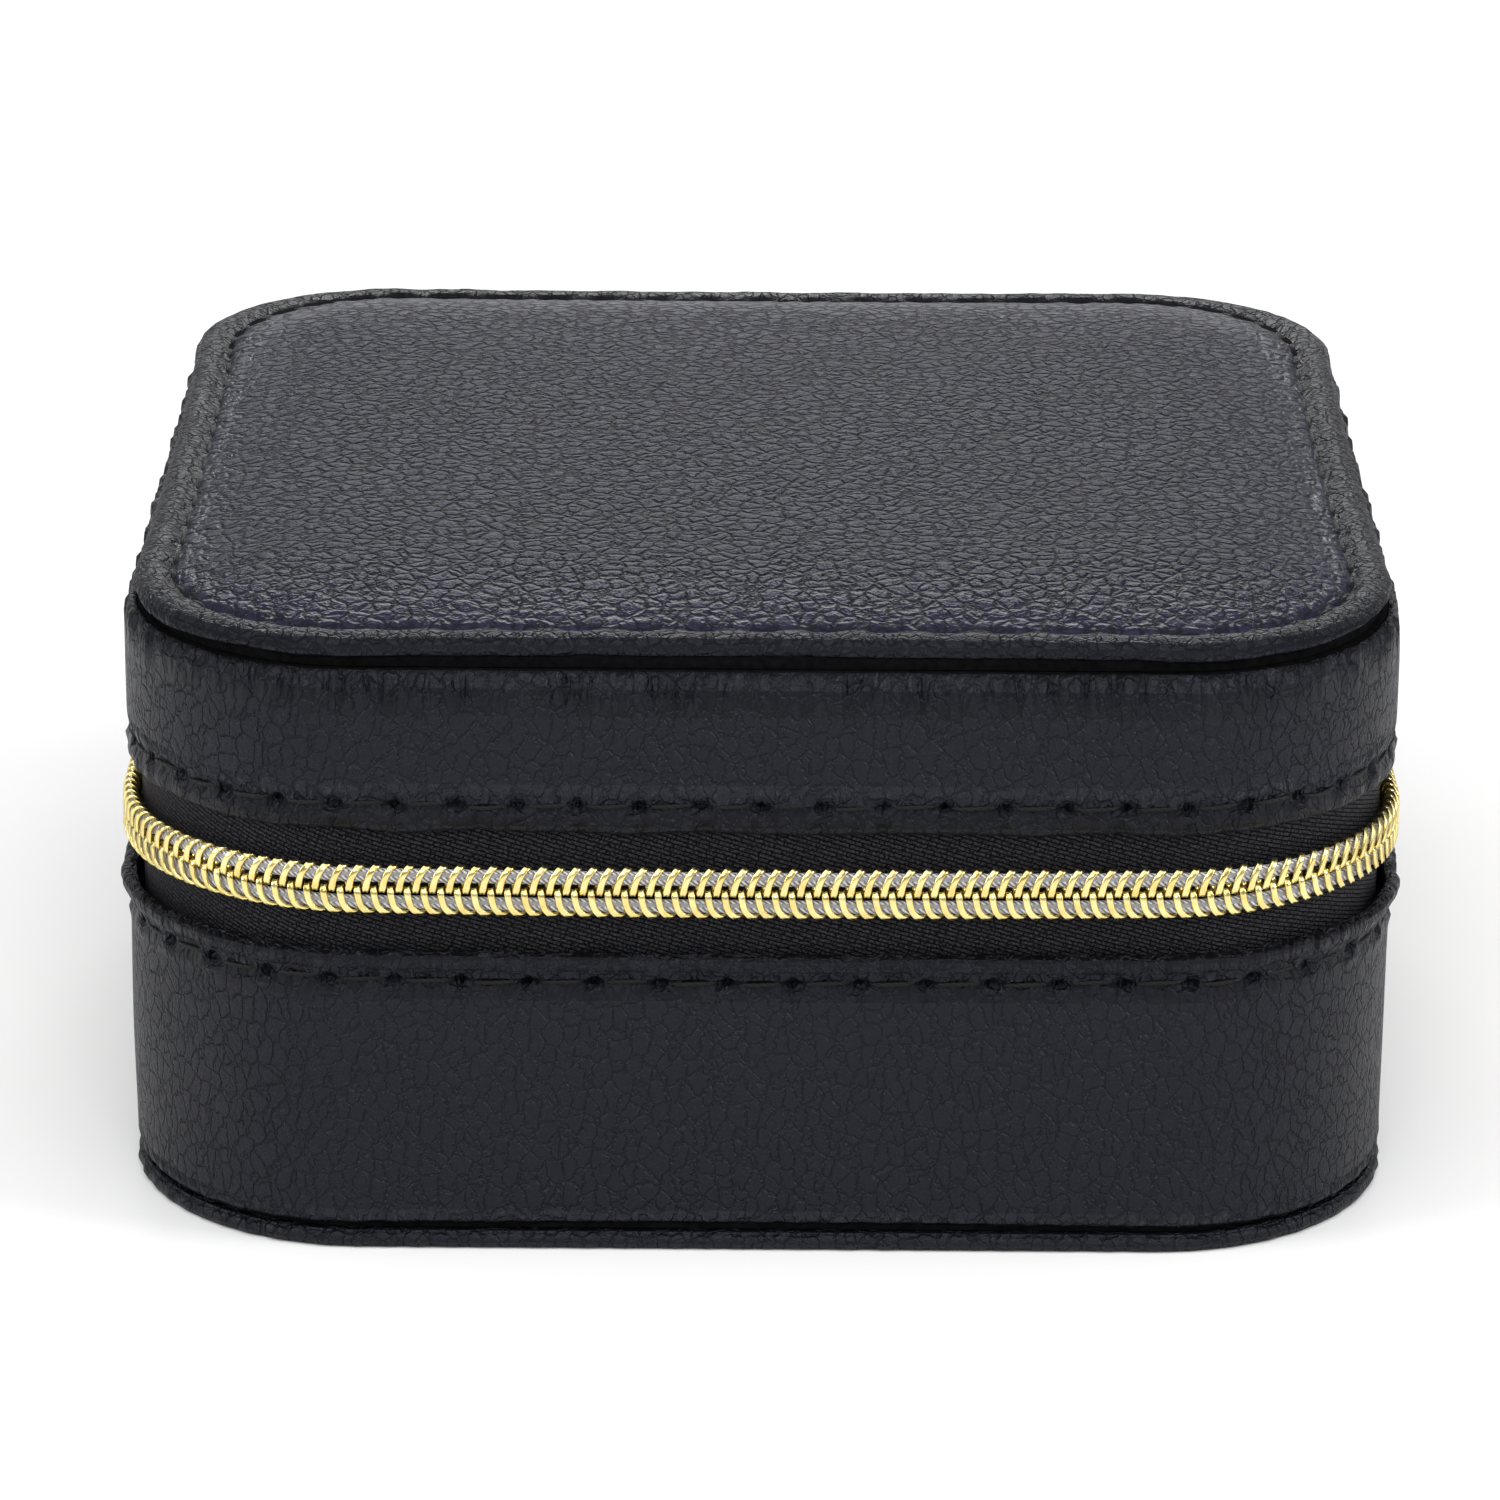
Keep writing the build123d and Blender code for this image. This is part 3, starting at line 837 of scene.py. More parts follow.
# Pitch of the teeth, where the rows start and end round the walls, and the rear face of
# the stops.
TOOTH = 1.28
COIL_START = LEFT_START + 1.6
COIL_END = RIGHT_END - 1.6
STOP_END_Y = box_mm("zip_stop_lower")[1][1]

# Faces of the tapes and middle of the cords, measured out from the walls, and the radii
# of the cords and of the wire of the teeth.
TAPE_FACE = -1.05
TAPE_BACK = -1.62
CORD_OUT = -0.2
CORD_RADIUS = 0.56
WIRE_RADIUS = 0.28

# One turn of the wire of each row, as (s, out, height) points.
LOWER_TURN = np.array(
    [(0.00, 0.30, 0.12), (0.04, 0.34, -0.38), (0.16, 0.34, -0.98), (0.40, 0.32, -1.46)]
    + [(0.76, 0.20, -1.80), (1.16, -0.12, -1.90), (1.38, -0.50, -1.70), (1.36, -0.74, -1.10)]
    + [(1.28, -0.78, -0.48), (1.24, -0.64, 0.02), (1.25, -0.22, 0.18)]
)
UPPER_TURN = np.array(
    [(0.00, 0.30, -0.12), (0.06, 0.34, 0.40), (0.22, 0.34, 0.98), (0.46, 0.30, 1.48)]
    + [(0.74, 0.12, 1.82), (0.98, -0.24, 1.90), (1.06, -0.58, 1.62), (1.08, -0.76, 1.05)]
    + [(1.12, -0.78, 0.45), (1.18, -0.64, -0.02), (1.24, -0.22, -0.18)]
)


def zip_tape(name, body, low, high, node, edge):
    """Woven tape. Its free edge tapers and draws back behind the stops of the zip.

    edge is 1 where the free edge is the upper one, and -1 where it is the lower one.
    """
    s = np.linspace(FLAT_X + 0.2, AROUND - FLAT_X - 0.2, 560)
    heights = np.linspace(low, high, 16)
    profile = [(TAPE_FACE, z) for z in heights] + [(TAPE_BACK, z) for z in heights[::-1]]
    free_edge = high if edge > 0 else low

    def shape(ss, out, z):
        ripple = 0.05 * wobble(ss, 14.0, 61) + 0.03 * wobble(ss, 4.0, 62)
        behind = np.clip((walls_at(ss)[1] - STOP_END_Y) / 1.5, 0, 1)
        front = np.clip((out - TAPE_BACK) / (TAPE_FACE - TAPE_BACK), 0, 1)
        out = out - 0.38 * behind * front * near(z, free_edge, 0.6)
        z = z + edge * 0.62 * behind * near(z, free_edge, 1.4)
        return out + ripple * near(z, (low + high) / 2, 3.0) - 0.03, z

    piece = sweep(name, profile, s, False, shape)
    return finish_piece(piece, body, "zip_tape", node)


def coil_line(turn, phase):
    """The wire of one row of teeth, as one long smoothed line."""
    count = int((COIL_END - COIL_START) / TOOTH)
    starts = [COIL_START + phase + k * TOOTH for k in range(count)]
    rough = np.vstack([turn + np.array([start, 0, 0]) for start in starts])
    fine = np.stack([rough[:-1], (rough[:-1] + rough[1:]) / 2], 1).reshape(-1, 3)
    for _ in range(2):
        middle = (fine[:-2] + 2 * fine[1:-1] + fine[2:]) / 4
        fine = np.vstack([fine[:1], middle, fine[-1:]])
    s, out, z = fine.T
    return place(s, *settle(s, out, z + SPLIT_Z))


def from_core(points):
    """Horizontal offsets of points from the rectangle between the centres of the corners."""
    x, y = points[:, 0], points[:, 1]
    return np.stack([x - np.clip(x, -FLAT_X, FLAT_X), y - np.clip(y, -FLAT_Y, FLAT_Y)], -1)


def coil(name, body, turn, phase, middle, node):
    """One row of teeth: flattened wire, its loops centred at a height from the split."""

    def outwards(line):
        """Direction away from the middle of the loops, to flatten the wire against."""
        side = from_core(line)
        length = np.linalg.norm(side, axis=1) + 1e-9
        across = length - CORNER + 0.22
        upwards = (line[:, 2] - (SPLIT_Z + middle)) * 0.35
        return np.column_stack([side / length[:, None] * across[:, None], upwards])

    line = coil_line(turn, phase)
    piece = tubes(name, [line], WIRE_RADIUS, 10, flat=0.7, reference=outwards, dent=0.5)
    return finish_piece(piece, body, "gold_coil", node)


def coil_cord(name, body, height):
    """Cord that runs inside the loops of one row."""
    s = np.arange(COIL_START, COIL_END, 0.45)
    out, z = settle(s, 0 * s + CORD_OUT, 0 * s + SPLIT_Z + height)

    def outwards(points):
        return np.column_stack([from_core(points), 0 * points[:, 2]])

    piece = tubes(name, [place(s, out, z)], CORD_RADIUS, 10, flat=0.5, reference=outwards)
    return finish_piece(piece, body, "zip_tape", material=CORD)


# ---------------------------------------------------------------- rear spine

# Faces of the spine.
SPINE_OUTER_Y = 47.93
SPINE_INNER_Y = 47.40


def spine():
    """Supple leather strip between the two bands, creased and dented about the split."""
    low, high = box_mm("spine_leather")
    half = high[0] + 0.26
    across = np.linspace(-half, half, 120)
    heights = np.linspace(low[2], high[2], 60)
    x, z = np.meshgrid(across, heights, indexing="ij")
    belly = near(z, SPLIT_Z, 3.4)
    crease = 0.05 * np.cos(2 * math.pi * z / 1.9 + 0.15 * x) * near(z, SPLIT_Z, 3.0)
    dent = 0.10 * wobble(x + 60, 7.0, 81) * belly
    bend = crease + dent - 0.10 * belly
    outer = np.stack([x, SPINE_OUTER_Y + bend, z], -1)
    inner = np.stack([x, SPINE_INNER_Y + bend, z], -1)
    piece = closed_sheet("spine_strip", outer, inner)
    finish_piece(piece, None, "spine_leather", "spine_leather")
    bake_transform(piece)
    return piece


# ---------------------------------------------------------------- lining and pads

# Faces of the lining walls, measured out from the walls, how far the flat panels and the
# pads stand in from the walls, and the height of the middle of the ring rolls.
LINING_OUTSIDE = -2.97
LINING_INSIDE = -4.13
LINING_INSET = 4.22
ROLL_MIDDLE_Z = 11.4


def lining_ring(name, body, low, high, node, round_top):
    """Velvet-covered wall whose free edge is rolled over."""
    outside, inside = LINING_OUTSIDE, LINING_INSIDE
    free, fixed = (high, low) if round_top else (low, high)
    turn = -1 if round_top else 1
    edge = [(outside, fixed), (outside, free + turn * 0.8), (outside - 0.18, free + turn * 0.22)]
    edge += [(outside - 0.58, free), (inside + 0.18, free + turn * 0.22), (inside, free + turn * 0.8)]
    edge += [(inside, (low + high) / 2), (inside, fixed)]

    def shape(s, out, z):
        soft = 0.06 * wobble(s, 9.0, 91) + 0.04 * wobble(s, 3.5, 92)
        return out + soft * near(z, free, 5.0), z + 0.05 * wobble(s, 13.0, 93) * near(z, free, 2.0)

    s = np.linspace(0, AROUND, 420, endpoint=False)
    piece = sweep(name, dense(edge, 1.1), s, True, shape, settled=False)
    return finish_piece(piece, body, "velvet", node)


def lining_panel(name, body, low, high, node, upwards):
    """Flat velvet panel with a soft turned edge and a faint quilting on its open side."""
    inset = LINING_INSET
    face, back = (high, low) if upwards else (low, high)
    turn = -1 if upwards else 1
    edge = [(-inset - 1.2, back), (-inset - 0.1, back - turn * 0.1), (-inset, (low + high) / 2)]
    edge += [(-inset - 0.15, face + turn * 0.25), (-inset - 0.6, face + turn * 0.05), (-inset - 2.0, face)]
    edge = dense(edge + [(-inset - 9.0, face)], 0.8)
    rings = place(*along_walls(np.linspace(0, AROUND, 300, endpoint=False), edge))
    inner = rings[:, -1]
    for share in np.linspace(0, 1, 22)[1:-1]:
        ring = inner * np.array([1 - share, 1 - share, 1.0])
        rings = np.concatenate([rings, ring[:, None]], 1)
    x, y, z = rings[..., 0], rings[..., 1], rings[..., 2]
    rings[..., 2] += 0.05 * np.sin(x / 3.1) * np.cos(y / 3.7) * (abs(z - face) < 0.01)
    piece = closed_disc(name, rings, [0, 0, face], [0, 0, back])
    return finish_piece(piece, body, "velvet", node)


def rounded_block(low, high, radius, cells):
    """Points and faces of a box with rounded edges, cut into cells along each axis."""
    low, high = np.asarray(low, float), np.asarray(high, float)
    points, faces, seen = [], [], {}

    def number(key):
        if key not in seen:
            seen[key] = len(points)
            share = np.array(key) / np.array(cells)
            where = low + (high - low) * share
            core = np.clip(where, low + radius, high - radius)
            away = where - core
            length = np.linalg.norm(away)
            points.append(core + away / length * radius if length > 1e-9 else where)
        return seen[key]

    for axis in range(3):
        a, b = (axis + 1) % 3, (axis + 2) % 3
        for side in (0, cells[axis]):
            for i in range(cells[a]):
                for j in range(cells[b]):
                    corners = []
                    for di, dj in ((0, 0), (1, 0), (1, 1), (0, 1)):
                        key = [0, 0, 0]
                        key[axis], key[a], key[b] = side, i + di, j + dj
                        corners.append(number(tuple(key)))
                    faces.append(corners)
    return np.array(points), faces


def apply_modifiers(obj):
    """Bakes an object's modifiers into its mesh."""
    bpy.context.view_layer.update()
    graph = bpy.context.evaluated_depsgraph_get()
    made = bpy.data.meshes.new_from_object(obj.evaluated_get(graph), depsgraph=graph)
    obj.modifiers.clear()
    obj.data = made


def add_remesh(obj, voxel):
    """Melts a mesh into one skin of voxels, their size in millimetres."""
    remesh = obj.modifiers.new("remesh", "REMESH")
    remesh.mode = "VOXEL"
    remesh.voxel_size = voxel * MM


def puff(obj, voxel, pressure, limit):
    """Inflates a closed mesh as cloth and keeps each point within limit of its start.

    The mesh is ten times its size while it is simulated, which keeps the solver steady.
    """
    scale, frames = 10.0, 20
    obj.data.transform(Matrix.Scale(scale, 4))
    add_remesh(obj, voxel * scale)
    apply_modifiers(obj)
    start = read_points(obj)
    cloth = obj.modifiers.new("cloth", "CLOTH")
    cloth.settings.use_pressure = True
    cloth.settings.uniform_pressure_force = pressure
    cloth.settings.effector_weights.gravity = 0.0
    cloth.settings.quality = 4
    cloth.point_cache.frame_start = 1
    cloth.point_cache.frame_end = frames
    for step in range(1, frames + 1):
        bpy.context.scene.frame_set(step)
    apply_modifiers(obj)
    move = read_points(obj) - start
    bpy.context.scene.frame_set(1)
    length = np.linalg.norm(move, axis=1, keepdims=True) + 1e-9
    write_points(obj, start + move * np.minimum(1, limit * scale / length))
    obj.data.transform(Matrix.Scale(1 / scale, 4))
    return smooth(obj)


def inside_plan(points, inset):
    """Pulls points into the rounded plan of the lining, so that a pad fits its corners."""
    half = np.array([WIDTH / 2 - inset, DEPTH / 2 - inset])
    radius = CORNER - inset
    core = half - radius
    side = points[:, :2] - np.clip(points[:, :2], -core, core)
    length = np.linalg.norm(side, axis=1)
    over = length > radius
    points[over, :2] -= side[over] * (1 - radius / length[over])[:, None]
    return points


def ring_roll(number):
    """Stuffed velvet roll: a domed bar, swollen as cloth and gathered at its ends."""
    node = f"ring_roll_{number}"
    box_low, box_high = box_mm(node)
    low, high = box_low + [0.35, 0.35, 0.02], box_high - [0.35, 0.35, 0.45]
    points, faces = rounded_block(low, high, 6.2, (44, 18, 18))
    foot = low[2] + 0.4
    points[:, 2] = np.maximum(points[:, 2], foot - 0.35)
    middle_y = (low[1] + high[1]) / 2
    half_y = (high[1] - low[1]) / 2
    sink = np.clip((low[2] + 4 - points[:, 2]) / 4, 0, 1)
    lean = (points[:, 1] - middle_y) / half_y
    points[:, 1] += lean * sink * 0.9 * (1 - abs(lean))
    piece = solid(node + "_velvet", inside_plan(points, 4.5), faces)
    puff(piece, 1.0, 4.0, 0.45)
    co = read_points(piece)
    ends = np.minimum(co[:, 0] - low[0], high[0] - co[:, 0])
    angle = np.arctan2(co[:, 2] - ROLL_MIDDLE_Z, co[:, 1] - middle_y)
    fade = np.exp(-np.clip(ends, 0, 9) / 2.6)
    gather = 0.16 * np.sin(17 * angle + 2.1 * np.sin(3 * angle + number)) * fade
    away = np.stack([0 * angle, np.cos(angle), np.sin(angle)], -1)
    lines = 0.07 * np.sin(co[:, 0] / 2.3 + 1.7 * np.sin(angle * 2 + number)) * np.clip(ends / 6, 0, 1)
    co += away * (gather + lines)[:, None] * (co[:, 2] > foot + 0.5)[:, None]
    co = np.clip(co, box_low + [0.02, 0.02, 0.02], box_high - [0.02, 0.02, 0.0])
    write_points(piece, inside_plan(co, LINING_INSET))
    finish_piece(piece, "base", "velvet", node, subdivide=1)
    return piece


def padded_wall(name, body, node, thin_axis, seed):
    """Padded velvet panel with a soft top edge and a faint sewn line round its faces."""
    low, high = box_mm(node)
    size = high - low
    cells = [max(6, int(v / 0.9)) for v in size]
    points, faces = rounded_block(low, high, size[thin_axis] / 2 - 0.02, cells)
    long_axis = 1 - thin_axis
    along = points[:, long_axis]
    edge = np.minimum(np.minimum(along - low[long_axis], high[long_axis] - along), high[2] - points[:, 2])
    across = points[:, thin_axis] - ((low + high) / 2)[thin_axis]
    flat = np.abs(across) / (size[thin_axis] / 2)
    sewn = 0.22 * near(edge, 2.2, 0.45)
    ripple = 0.04 * np.sin(along / 1.7 + seed) * np.cos(points[:, 2] / 2.3 + seed)
    points[:, thin_axis] -= np.sign(across) * (sewn + np.abs(ripple)) * np.clip(flat * 1.2, 0, 1)
    piece = solid(name, points, faces)
    finish_piece(piece, body, "velvet", node, subdivide=1)
    return piece


# ---------------------------------------------------------------- lid pocket and straps

SIDES = ("left", "middle", "right")


def pocket():
    """Gathered pocket: pleats at the elastic mouth fade towards the sewn rear edge."""
    low, high = box_mm("lid_pocket")
    top, front, rear = high[2], low[1], high[1] - 0.1
    rows, columns = 300, 56
    inset, depth, thickness = 4.6, 5.15, 0.3
    ys = front + (rear - front) * np.linspace(0, 1, columns) ** 0.9
    us = np.linspace(-1, 1, rows)
    radius = CORNER - inset
    arc = FLAT_X + np.sqrt(np.clip(radius**2 - (ys - FLAT_Y) ** 2, 0, None))
    reach = np.where(ys < FLAT_Y, WIDTH / 2 - inset, arc)
    x = us[:, None] * reach[None, :]
    y = np.repeat(ys[None], rows, 0)
    side = (1 - np.abs(us))[:, None] * reach[None, :]
    edge = np.minimum(side, rear - y)
    drop = depth * (1 - np.exp(-np.clip(edge, 0, None) / 1.5))
    fade = np.exp(-(y - front) / 12.0)
    wander = 0.9 * np.sin(x / 9.0) + 0.5 * np.sin(x / 4.1 + 1.3)
    pleat = np.sin(2 * math.pi * (x + wander * (y - front) / 20) / 3.3 + 0.8 * np.sin(x / 6.0))
    sag = 0.35 * np.sin(math.pi * np.clip((y - front) / (rear - front), 0, 1))
    drop = drop + (0.50 * fade + 0.12) * pleat * np.clip(edge / 3, 0, 1) + sag * np.clip(edge / 5, 0, 1) * 0.5
    face = np.stack([x, y, np.clip(top - drop, low[2] - 0.4, top)], -1)
    normal = np.cross(np.gradient(face, axis=0), np.gradient(face, axis=1))
    normal /= np.linalg.norm(normal, axis=2, keepdims=True) + 1e-12
    other = face + normal * thickness
    other[..., 2] = np.minimum(other[..., 2], top + 0.02)
    piece = closed_sheet("pocket_cloth", face, other)
    finish_piece(piece, "lid", "pocket_fabric", "lid_pocket")
    hem = pocket_hem()
    return piece


def pocket_hem():
    """Elastic hem with close ruffles."""
    low, high = box_mm("lid_pocket_hem")
    centre, half = (low + high) / 2, (high - low) / 2
    rows, sides = 420, 18
    x = np.linspace(low[0], high[0], rows)[:, None]
    angles = np.linspace(0, 2 * math.pi, sides, endpoint=False)[None]
    ruffle = 1 + 0.16 * np.sin(2 * math.pi * x / 1.65 + 0.9 * np.sin(x / 5))
    y = centre[1] + half[1] * 0.92 * np.cos(angles) * (1 + 0.06 * np.sin(x / 2.1))
    z = centre[2] + half[2] * 0.84 * np.sin(angles) * ruffle
    points = np.stack([np.repeat(x, sides, 1), y, z], -1).reshape(-1, 3)
    faces = tube_faces(rows, sides)
    piece = solid("pocket_elastic", points, faces)
    return finish_piece(piece, "lid", "pocket_fabric", "lid_pocket_hem")


def tongue_points(low, high, radius):
    """Outline of a strap: square root, rounded free end."""
    half = (high[0] - low[0]) / 2
    centre = (high[0] + low[0]) / 2
    side = [(centre + half, y) for y in np.linspace(low[1], high[1] - radius, 14)[:-1]]
    for angle in np.linspace(0, math.pi / 2, 10):
        x = centre + half - radius + radius * math.cos(angle)
        side.append((x, high[1] - radius + radius * math.sin(angle)))
    return np.array(side + [(2 * centre - x, y) for x, y in reversed(side)])


def strap(side):
    """Leather strap, thin at its stitched margin, with a row of small stitches and a snap."""
    node, snap_node = f"hook_strap_{side}", f"hook_snap_{side}"
    body = f"strap_{side}"
    low, high = box_mm(node)
    outline = tongue_points(low, high, 3.5)
    middle = np.array([(low[0] + high[0]) / 2, (low[1] + high[1]) / 2 + 0.6])
    levels = [(1.0, 0.5), (1.0, 0.2), (0.975, 0.04), (0.94, 0.0), (0.86, 0.03), (0.80, 0.12)]
    levels += [(0.74, 0.02), (0.5, 0.0), (0.25, 0.0), (0.02, 0.0)]
    thick = high[2] - low[2]
    rings = [(share, low[2] + rise * thick) for share, rise in levels[::-1]]
    rings += [(share, high[2] - rise * thick) for share, rise in levels[1:]]
    count = len(outline)
    points = []
    for share, height in rings:
        ring = middle + (outline - middle) * share
        points.append(np.column_stack([ring, np.full(count, height)]))
    faces = tube_faces(len(rings), count)
    piece = solid(f"strap_{side}_leather", np.vstack(points), faces)
    finish_piece(piece, body, "black_leather", node, material=SPINE)

    margin = middle + (outline - middle) * 0.80
    steps = running_length(margin)
    pitch = 1.5
    lines = []
    for k in range(int(steps[-1] / pitch)):
        where = np.linspace(k * pitch + 0.2, k * pitch + 1.25, 7)
        x, y = (np.interp(where, steps, margin[:, axis]) for axis in (0, 1))
        z = low[2] + 0.10 - 0.10 * (1 - np.linspace(-1, 1, 7) ** 2)
        lines.append(np.column_stack([x, y, z]))
    thread = tubes(f"strap_{side}_thread", lines, 0.13, 6, taper=2.0)
    finish_piece(thread, body, "thread")

    dome = [(0.0, -0.95), (1.2, -0.92), (2.2, -0.78), (2.8, -0.5), (3.0, -0.18), (2.9, 0.0), (0.0, 0.0)]
    snap = lathe(f"snap_{side}", dome, (middle[0], box_mm(snap_node)[0][1] + 3.0, low[2] - 0.03))
    finish_piece(snap, body, "gold_metal", snap_node)


def lathe(name, profile, centre):
    """Turned shape about a vertical axis, from (radius, height) points."""
    profile = np.array(dense(profile, 0.25))
    sides = 48
    angles = np.linspace(0, 2 * math.pi, sides, endpoint=False)
    ring = np.stack([np.cos(angles), np.sin(angles)], -1)
    points = []
    for radius, height in profile:
        points.append(np.column_stack([ring * max(radius, 0.002), np.full(sides, height)]) + centre)
    faces = tube_faces(len(profile), sides)
    return solid(name, np.vstack(points), faces)


def join_pieces(name, pieces):
    """Joins separate meshes into one object."""
    bm = bmesh.new()
    for piece in pieces:
        bm.from_mesh(piece.data)
        bpy.data.objects.remove(piece)
    mesh = bpy.data.meshes.new(name)
    bm.to_mesh(mesh)
    bm.free()
    return add_object(name, mesh)


def strap_fixings():
    """Sewn leather roots of the straps, and the studs of their snaps."""
    roots, studs = [], []
    low, high = box_mm("hook_anchors")
    stud_low, stud_high = box_mm("hook_studs")
    stud_y = (stud_low[1] + stud_high[1]) / 2
    profile = [(0.0, -0.5), (0.9, -0.5), (1.0, -0.2), (1.9, -0.12), (2.15, 0.0), (0.0, 0.03)]
    for side in SIDES:
        strap_low, strap_high = box_mm(f"hook_strap_{side}")
        a = np.array([strap_low[0], low[1], low[2]])
        b = np.array([strap_high[0], high[1], high[2]])
        points, faces = rounded_block(a, b, 0.45, (18, 8, 6))
        centre = (a + b) / 2
        edge = np.minimum(points[:, 0] - a[0], b[0] - points[:, 0])
        dip = 0.2 * near(edge, 1.0, 0.3) + 0.2 * near(np.abs(points[:, 1] - centre[1]), 0.6, 0.25)
        points[:, 2] += np.where(points[:, 2] < centre[2], dip, 0)
        roots.append(make_mesh("root", points, faces))
        studs.append(lathe("stud", profile, (centre[0], stud_y, stud_high[2] - 0.04)))
    piece = fix_normals(join_pieces("strap_roots", roots))
    finish_piece(piece, "lid", "black_leather", "hook_anchors", material=SPINE)
    finish_piece(join_pieces("snap_studs", studs), "lid", "gold_metal", "hook_studs")


# ---------------------------------------------------------------- slider and puller

# Axis of the puller's bar, and where the parts of the slider stand along x.
PULL_X = 52.45
PULL_Y = 25.4
FRONT_PLATE_X = (50.85, 51.68)
BACK_PLATE_X = (47.4, 48.15)
FLANGES_X = (49.25, 51.2)
WEDGE_X = (47.9, 51.1)


def cast(name, parts, voxel, rounds):
    """Melts overlapping solids into one casting with softened edges.

    The mesh is a hundred times its size meanwhile, as voxels of a tenth of a millimetre
    are at the limit of the remesher.
    """
    scale = 100.0
    piece = join_pieces(name, parts)
    piece.data.transform(Matrix.Scale(scale, 4))
    add_remesh(piece, voxel * scale)
    soften = piece.modifiers.new("smooth", "SMOOTH")
    soften.factor = 0.5
    soften.iterations = rounds
    apply_modifiers(piece)
    piece.data.transform(Matrix.Scale(1 / scale, 4))
    return smooth(piece)


def plate_part(outline, low, high):
    """Flat part standing across x, from an outline of (y, z) points."""
    outline = np.array(outline, float)
    count = len(outline)
    points = [np.column_stack([np.full(count, x), outline]) for x in (low, high)]
    faces = tube_faces(2, count)
    return solid("part", np.vstack(points), faces)


def block_part(x, y, z, radius):
    """Rounded block between two x, two y and two z values, which may come in any order."""
    low, high = zip(sorted(x), sorted(y), sorted(z))
    points, faces = rounded_block(low, high, radius, (8, 8, 8))
    return solid("part", points, faces)


def slider():
    """Cast slider body: waisted plates, side flanges, wedge and a bridge for the puller."""
    low, high = box_mm("zip_slider")
    front, rear = low[1], high[1]
    middle = (front + rear) / 2
    half = (rear - front) / 2
    outline = []
    for turn in np.linspace(0, 2 * math.pi, 72, endpoint=False):
        c, s = math.cos(turn), math.sin(turn)
        y = half * math.copysign(abs(c) ** 0.45, c)
        wide = 3.5 - 0.55 * near(y, -0.8, 2.4) - 0.35 * (y < -2)
        outline.append((middle + y, SPLIT_Z + wide * math.copysign(abs(s) ** 0.5, s)))
    parts = [plate_part(outline, *FRONT_PLATE_X), plate_part(outline, *BACK_PLATE_X)]
    for side in (-1, 1):
        flange = (SPLIT_Z + side * 2.5, SPLIT_Z + side * 3.3)
        parts.append(block_part(FLANGES_X, (front + 1.3, rear - 1.4), flange, 0.3))
    wedge = (SPLIT_Z - 0.45, SPLIT_Z + 0.45)
    parts.append(block_part(WEDGE_X, (rear - 2.0, rear - 0.4), wedge, 0.2))
    body = cast("slider_body", parts, 0.11, 5)

    leg = [(51.45, 2.2), (52.3, 2.2), (53.0, 2.02), (53.4, 1.45), (53.55, 0.6)]
    arch = np.array([(x, -y) for x, y in leg] + leg[::-1])
    steps = running_length(arch)
    even = np.linspace(0, steps[-1], 40)
    x, y = (np.interp(even, steps, arch[:, axis]) for axis in (0, 1))
    line = np.column_stack([x, PULL_Y + y, np.full(40, SPLIT_Z)])
    bridge = tubes("bridge", [line], 0.32, 14, flat=2.7)
    piece = join_pieces("zip_slider_casting", [body, bridge])
    finish_piece(piece, "slider", "gold_metal", "zip_slider")


def puller():
    """Flat puller with a sunk panel, a waist, and a bar that turns under the bridge."""
    low, high = box_mm("zip_puller")
    far, corner = high[1], 2.2
    outline = []
    for y in np.linspace(PULL_Y + 3.3, far - corner, 24):
        outline.append((y, SPLIT_Z + 2.5 - 0.45 * near(y, PULL_Y + 6.0, 2.6)))
    for turn in np.linspace(math.pi / 2, 0, 12)[1:]:
        y = far - corner + corner * math.cos(turn)
        outline.append((y, SPLIT_Z + 0.3 + corner * math.sin(turn)))
    outline += [(y, 2 * SPLIT_Z - z) for y, z in reversed(outline)]
    x = (low[0] + 0.04, high[0] - 0.04)
    parts = [plate_part(outline, *x)]
    for side in (-1, 1):
        arm = (SPLIT_Z + side * 1.28, SPLIT_Z + side * 2.45)
        parts.append(block_part(x, (PULL_Y - 0.5, PULL_Y + 4.2), arm, 0.4))
    line = [(PULL_X, PULL_Y, SPLIT_Z + h) for h in np.linspace(-1.7, 1.7, 8)]

    def forwards(points):
        return np.tile([1.0, 0.0, 0.0], (len(points), 1))

    parts.append(tubes("bar", [line], 0.46, 12, reference=forwards))
    piece = cast("zip_puller_tab", parts, 0.10, 3)
    co = read_points(piece)
    off, y, z = co[:, 0] - PULL_X, co[:, 1], np.abs(co[:, 2] - SPLIT_Z)
    inner = np.minimum(np.minimum(1.75 - z, y - (PULL_Y + 8.2)), far - 1.1 - y)
    sunk = np.clip(inner / 0.3, 0, 1)
    face = np.clip((np.abs(off) - 0.2) / 0.2, 0, 1)
    co[:, 0] -= np.sign(off) * 0.16 * sunk * face
    write_points(piece, co)
    finish_piece(piece, "puller", "gold_metal", "zip_puller")


def zip_stops(node, body, name):
    """Two small clamps, one on each end of a tape."""
    low, high = box_mm(node)
    parts = []
    for side in (-1, 1):
        x = (side * high[0], side * (WIDTH / 2 - 1.05))
        parts.append(block_part(x, (low[1], high[1]), (low[2], high[2]), 0.32))
    finish_piece(join_pieces(name, parts), body, "gold_metal", node)


# ---------------------------------------------------------------- build

base_wall_leather()
lid_wall_leather()
lid_panel()
bottom_panel()
thread_row("base_thread", "base", STITCH_BASE_Z, BASE_PITCH, 71, -0.25, "base_wall_stitch")
thread_row("lid_thread", "lid", STITCH_LID_Z, LID_PITCH, 72, -0.22, "lid_wall_stitch")
seam_thread()

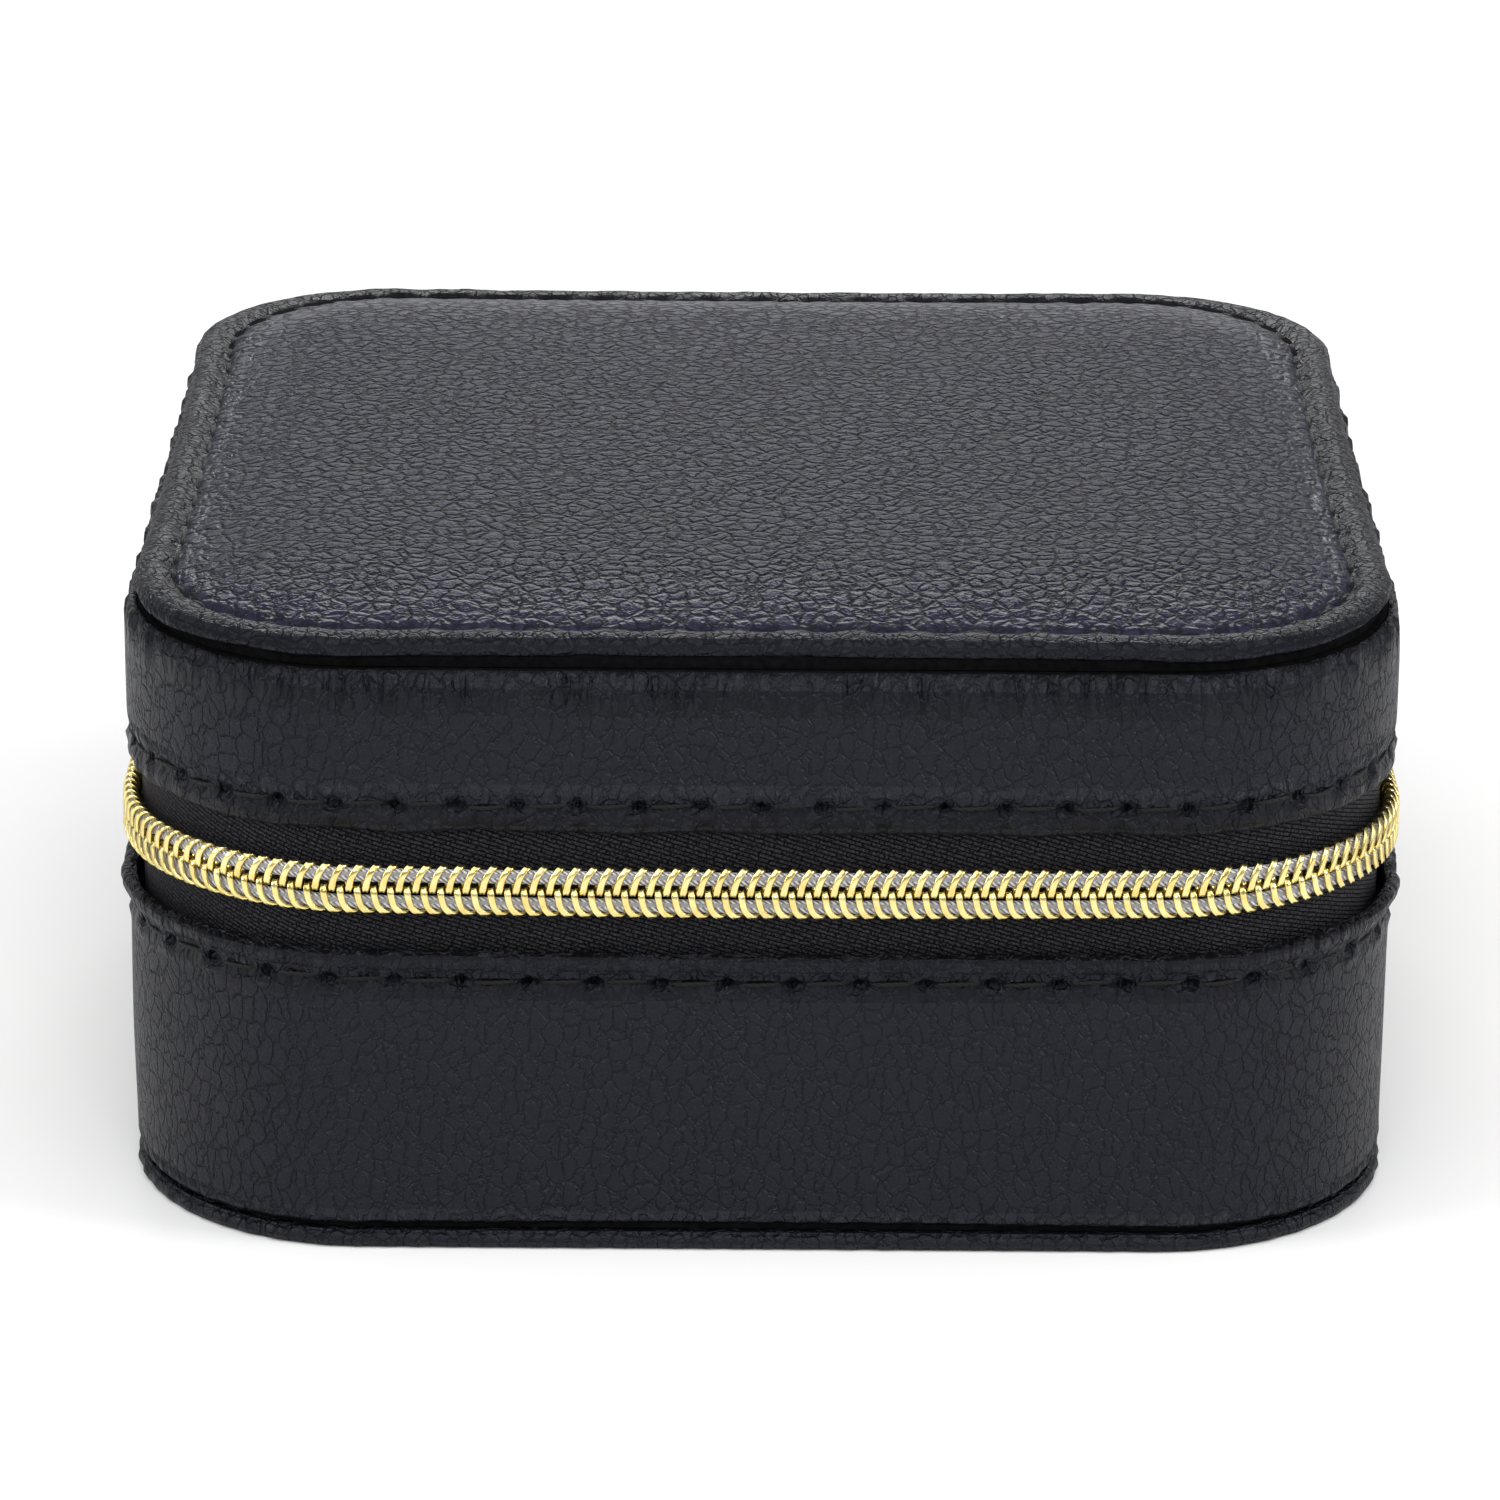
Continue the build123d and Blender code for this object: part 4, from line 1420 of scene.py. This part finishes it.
zip_tape("tape_lower", "base", 21.6, 29.8, "zip_tape_lower", 1)
zip_tape("tape_upper", "lid", 31.2, 38.9, "zip_tape_upper", -1)
coil("coil_lower", "base", LOWER_TURN, 0.0, -0.9, "zip_coil_lower")
coil("coil_upper", "lid", UPPER_TURN, TOOTH / 2, 0.9, "zip_coil_upper")
coil_cord("cord_lower", "base", -1.08)
coil_cord("cord_upper", "lid", 1.08)
slider()
puller()
zip_stops("zip_stop_lower", "base", "stops_lower")
zip_stops("zip_stop_upper", "lid", "stops_upper")

spine()
lining_ring("base_lining", "base", 3.5, 30.1, "base_lining_wall", True)
lining_ring("lid_lining", "lid", 31.0, 47.55, "lid_lining_wall", False)
lining_panel("base_floor_velvet", "base", 3.5, 4.6, "base_lining_floor", True)
lining_panel("lid_velvet", "lid", 46.2, 47.55, "lid_lining_panel", False)
padded_wall("partition_velvet", "base", "partition", 0, 1.0)
padded_wall("divider_front_velvet", "divider_front", "divider_front", 1, 2.0)
padded_wall("divider_rear_velvet", "divider_rear", "divider_rear", 1, 3.0)
for roll in range(1, 7):
    ring_roll(roll)
pocket()
for side in SIDES:
    strap(side)
strap_fixings()

for part in frame["record"]["subparts"]:
    node = frame["nodes"][part["node"]]
    node.data.materials.clear()
    node.data.materials.append(MATERIALS[part["material_slot"]])


# ---------------------------------------------------------------- studio


def area_light(name, position, target, size, power):
    data = bpy.data.lights.new(name, "AREA")
    data.shape = "RECTANGLE"
    data.size, data.size_y = size
    data.energy = power
    lamp = add_object(name, data)
    lamp.location = position
    direction = Vector(target) - Vector(position)
    lamp.rotation_euler = direction.to_track_quat("-Z", "Y").to_euler()


def studio():
    """Pale floor, white surroundings and five soft lights."""
    sh = Shader("floor")
    cloud = sh.noise(sh.where(), 4.0, 2.0)
    sh.colour(cloud, 0.3, (0.90, 0.90, 0.90), 0.7, (0.93, 0.93, 0.93))
    sh.constants(Roughness=0.9, Specular_IOR_Level=0.1)
    reach = 6000
    plan = [(-reach, -reach), (reach, -reach), (reach, reach), (-reach, reach)]
    floor = make_mesh("floor", [(x, y, -0.02) for x, y in plan], [[0, 1, 2, 3]])
    floor.data.materials.append(sh.material)

    world = bpy.data.worlds.new("studio")
    bpy.context.scene.world = world
    world.use_nodes = True
    background = world.node_tree.nodes["Background"]
    background.inputs["Color"].default_value = (1, 1, 1, 1)
    background.inputs["Strength"].default_value = 0.36

    area_light("overhead", (0.0, -0.6, 1.5), (0, -0.3, 0), (2.2, 1.8), 17.0)
    area_light("key_top", (0.0, 0.95, 0.46), (0, 0, 0.04), (0.6, 0.10), 3.4)
    area_light("left", (-0.7, -0.25, 0.35), (0, 0, 0.03), (0.3, 0.4), 2.4)
    area_light("right", (0.75, -0.2, 0.4), (0, 0, 0.03), (0.3, 0.4), 3.2)
    area_light("front", (0.0, -0.9, 0.55), (0, 0, 0.03), (0.6, 0.3), 2.5)


def camera():
    """Long lens, looking down at the front with a slight roll."""
    distance, elevation, roll = 546.2, math.radians(20.5), math.radians(0.4)
    target = np.array([-0.91, 0.0, 23.55])
    back = np.array([0.0, -math.cos(elevation), math.sin(elevation)])
    data = bpy.data.cameras.new("camera")
    data.sensor_width = 36.0
    data.lens = 156.0216
    data.clip_start, data.clip_end = 0.02, 30.0
    view = add_object("camera", data)
    forward = Vector(-back)
    right = forward.cross(Vector((0, 0, 1))).normalized()
    up = right.cross(forward)
    rolled_right = math.cos(roll) * right + math.sin(roll) * up
    rolled_up = math.cos(roll) * up - math.sin(roll) * right
    turn = Matrix((rolled_right, rolled_up, -forward)).transposed()
    view.matrix_world = Matrix.Translation(Vector((target + back * distance) * MM)) @ turn.to_4x4()
    bpy.context.scene.camera = view


studio()
camera()
bpy.context.scene.view_settings.view_transform = "Standard"
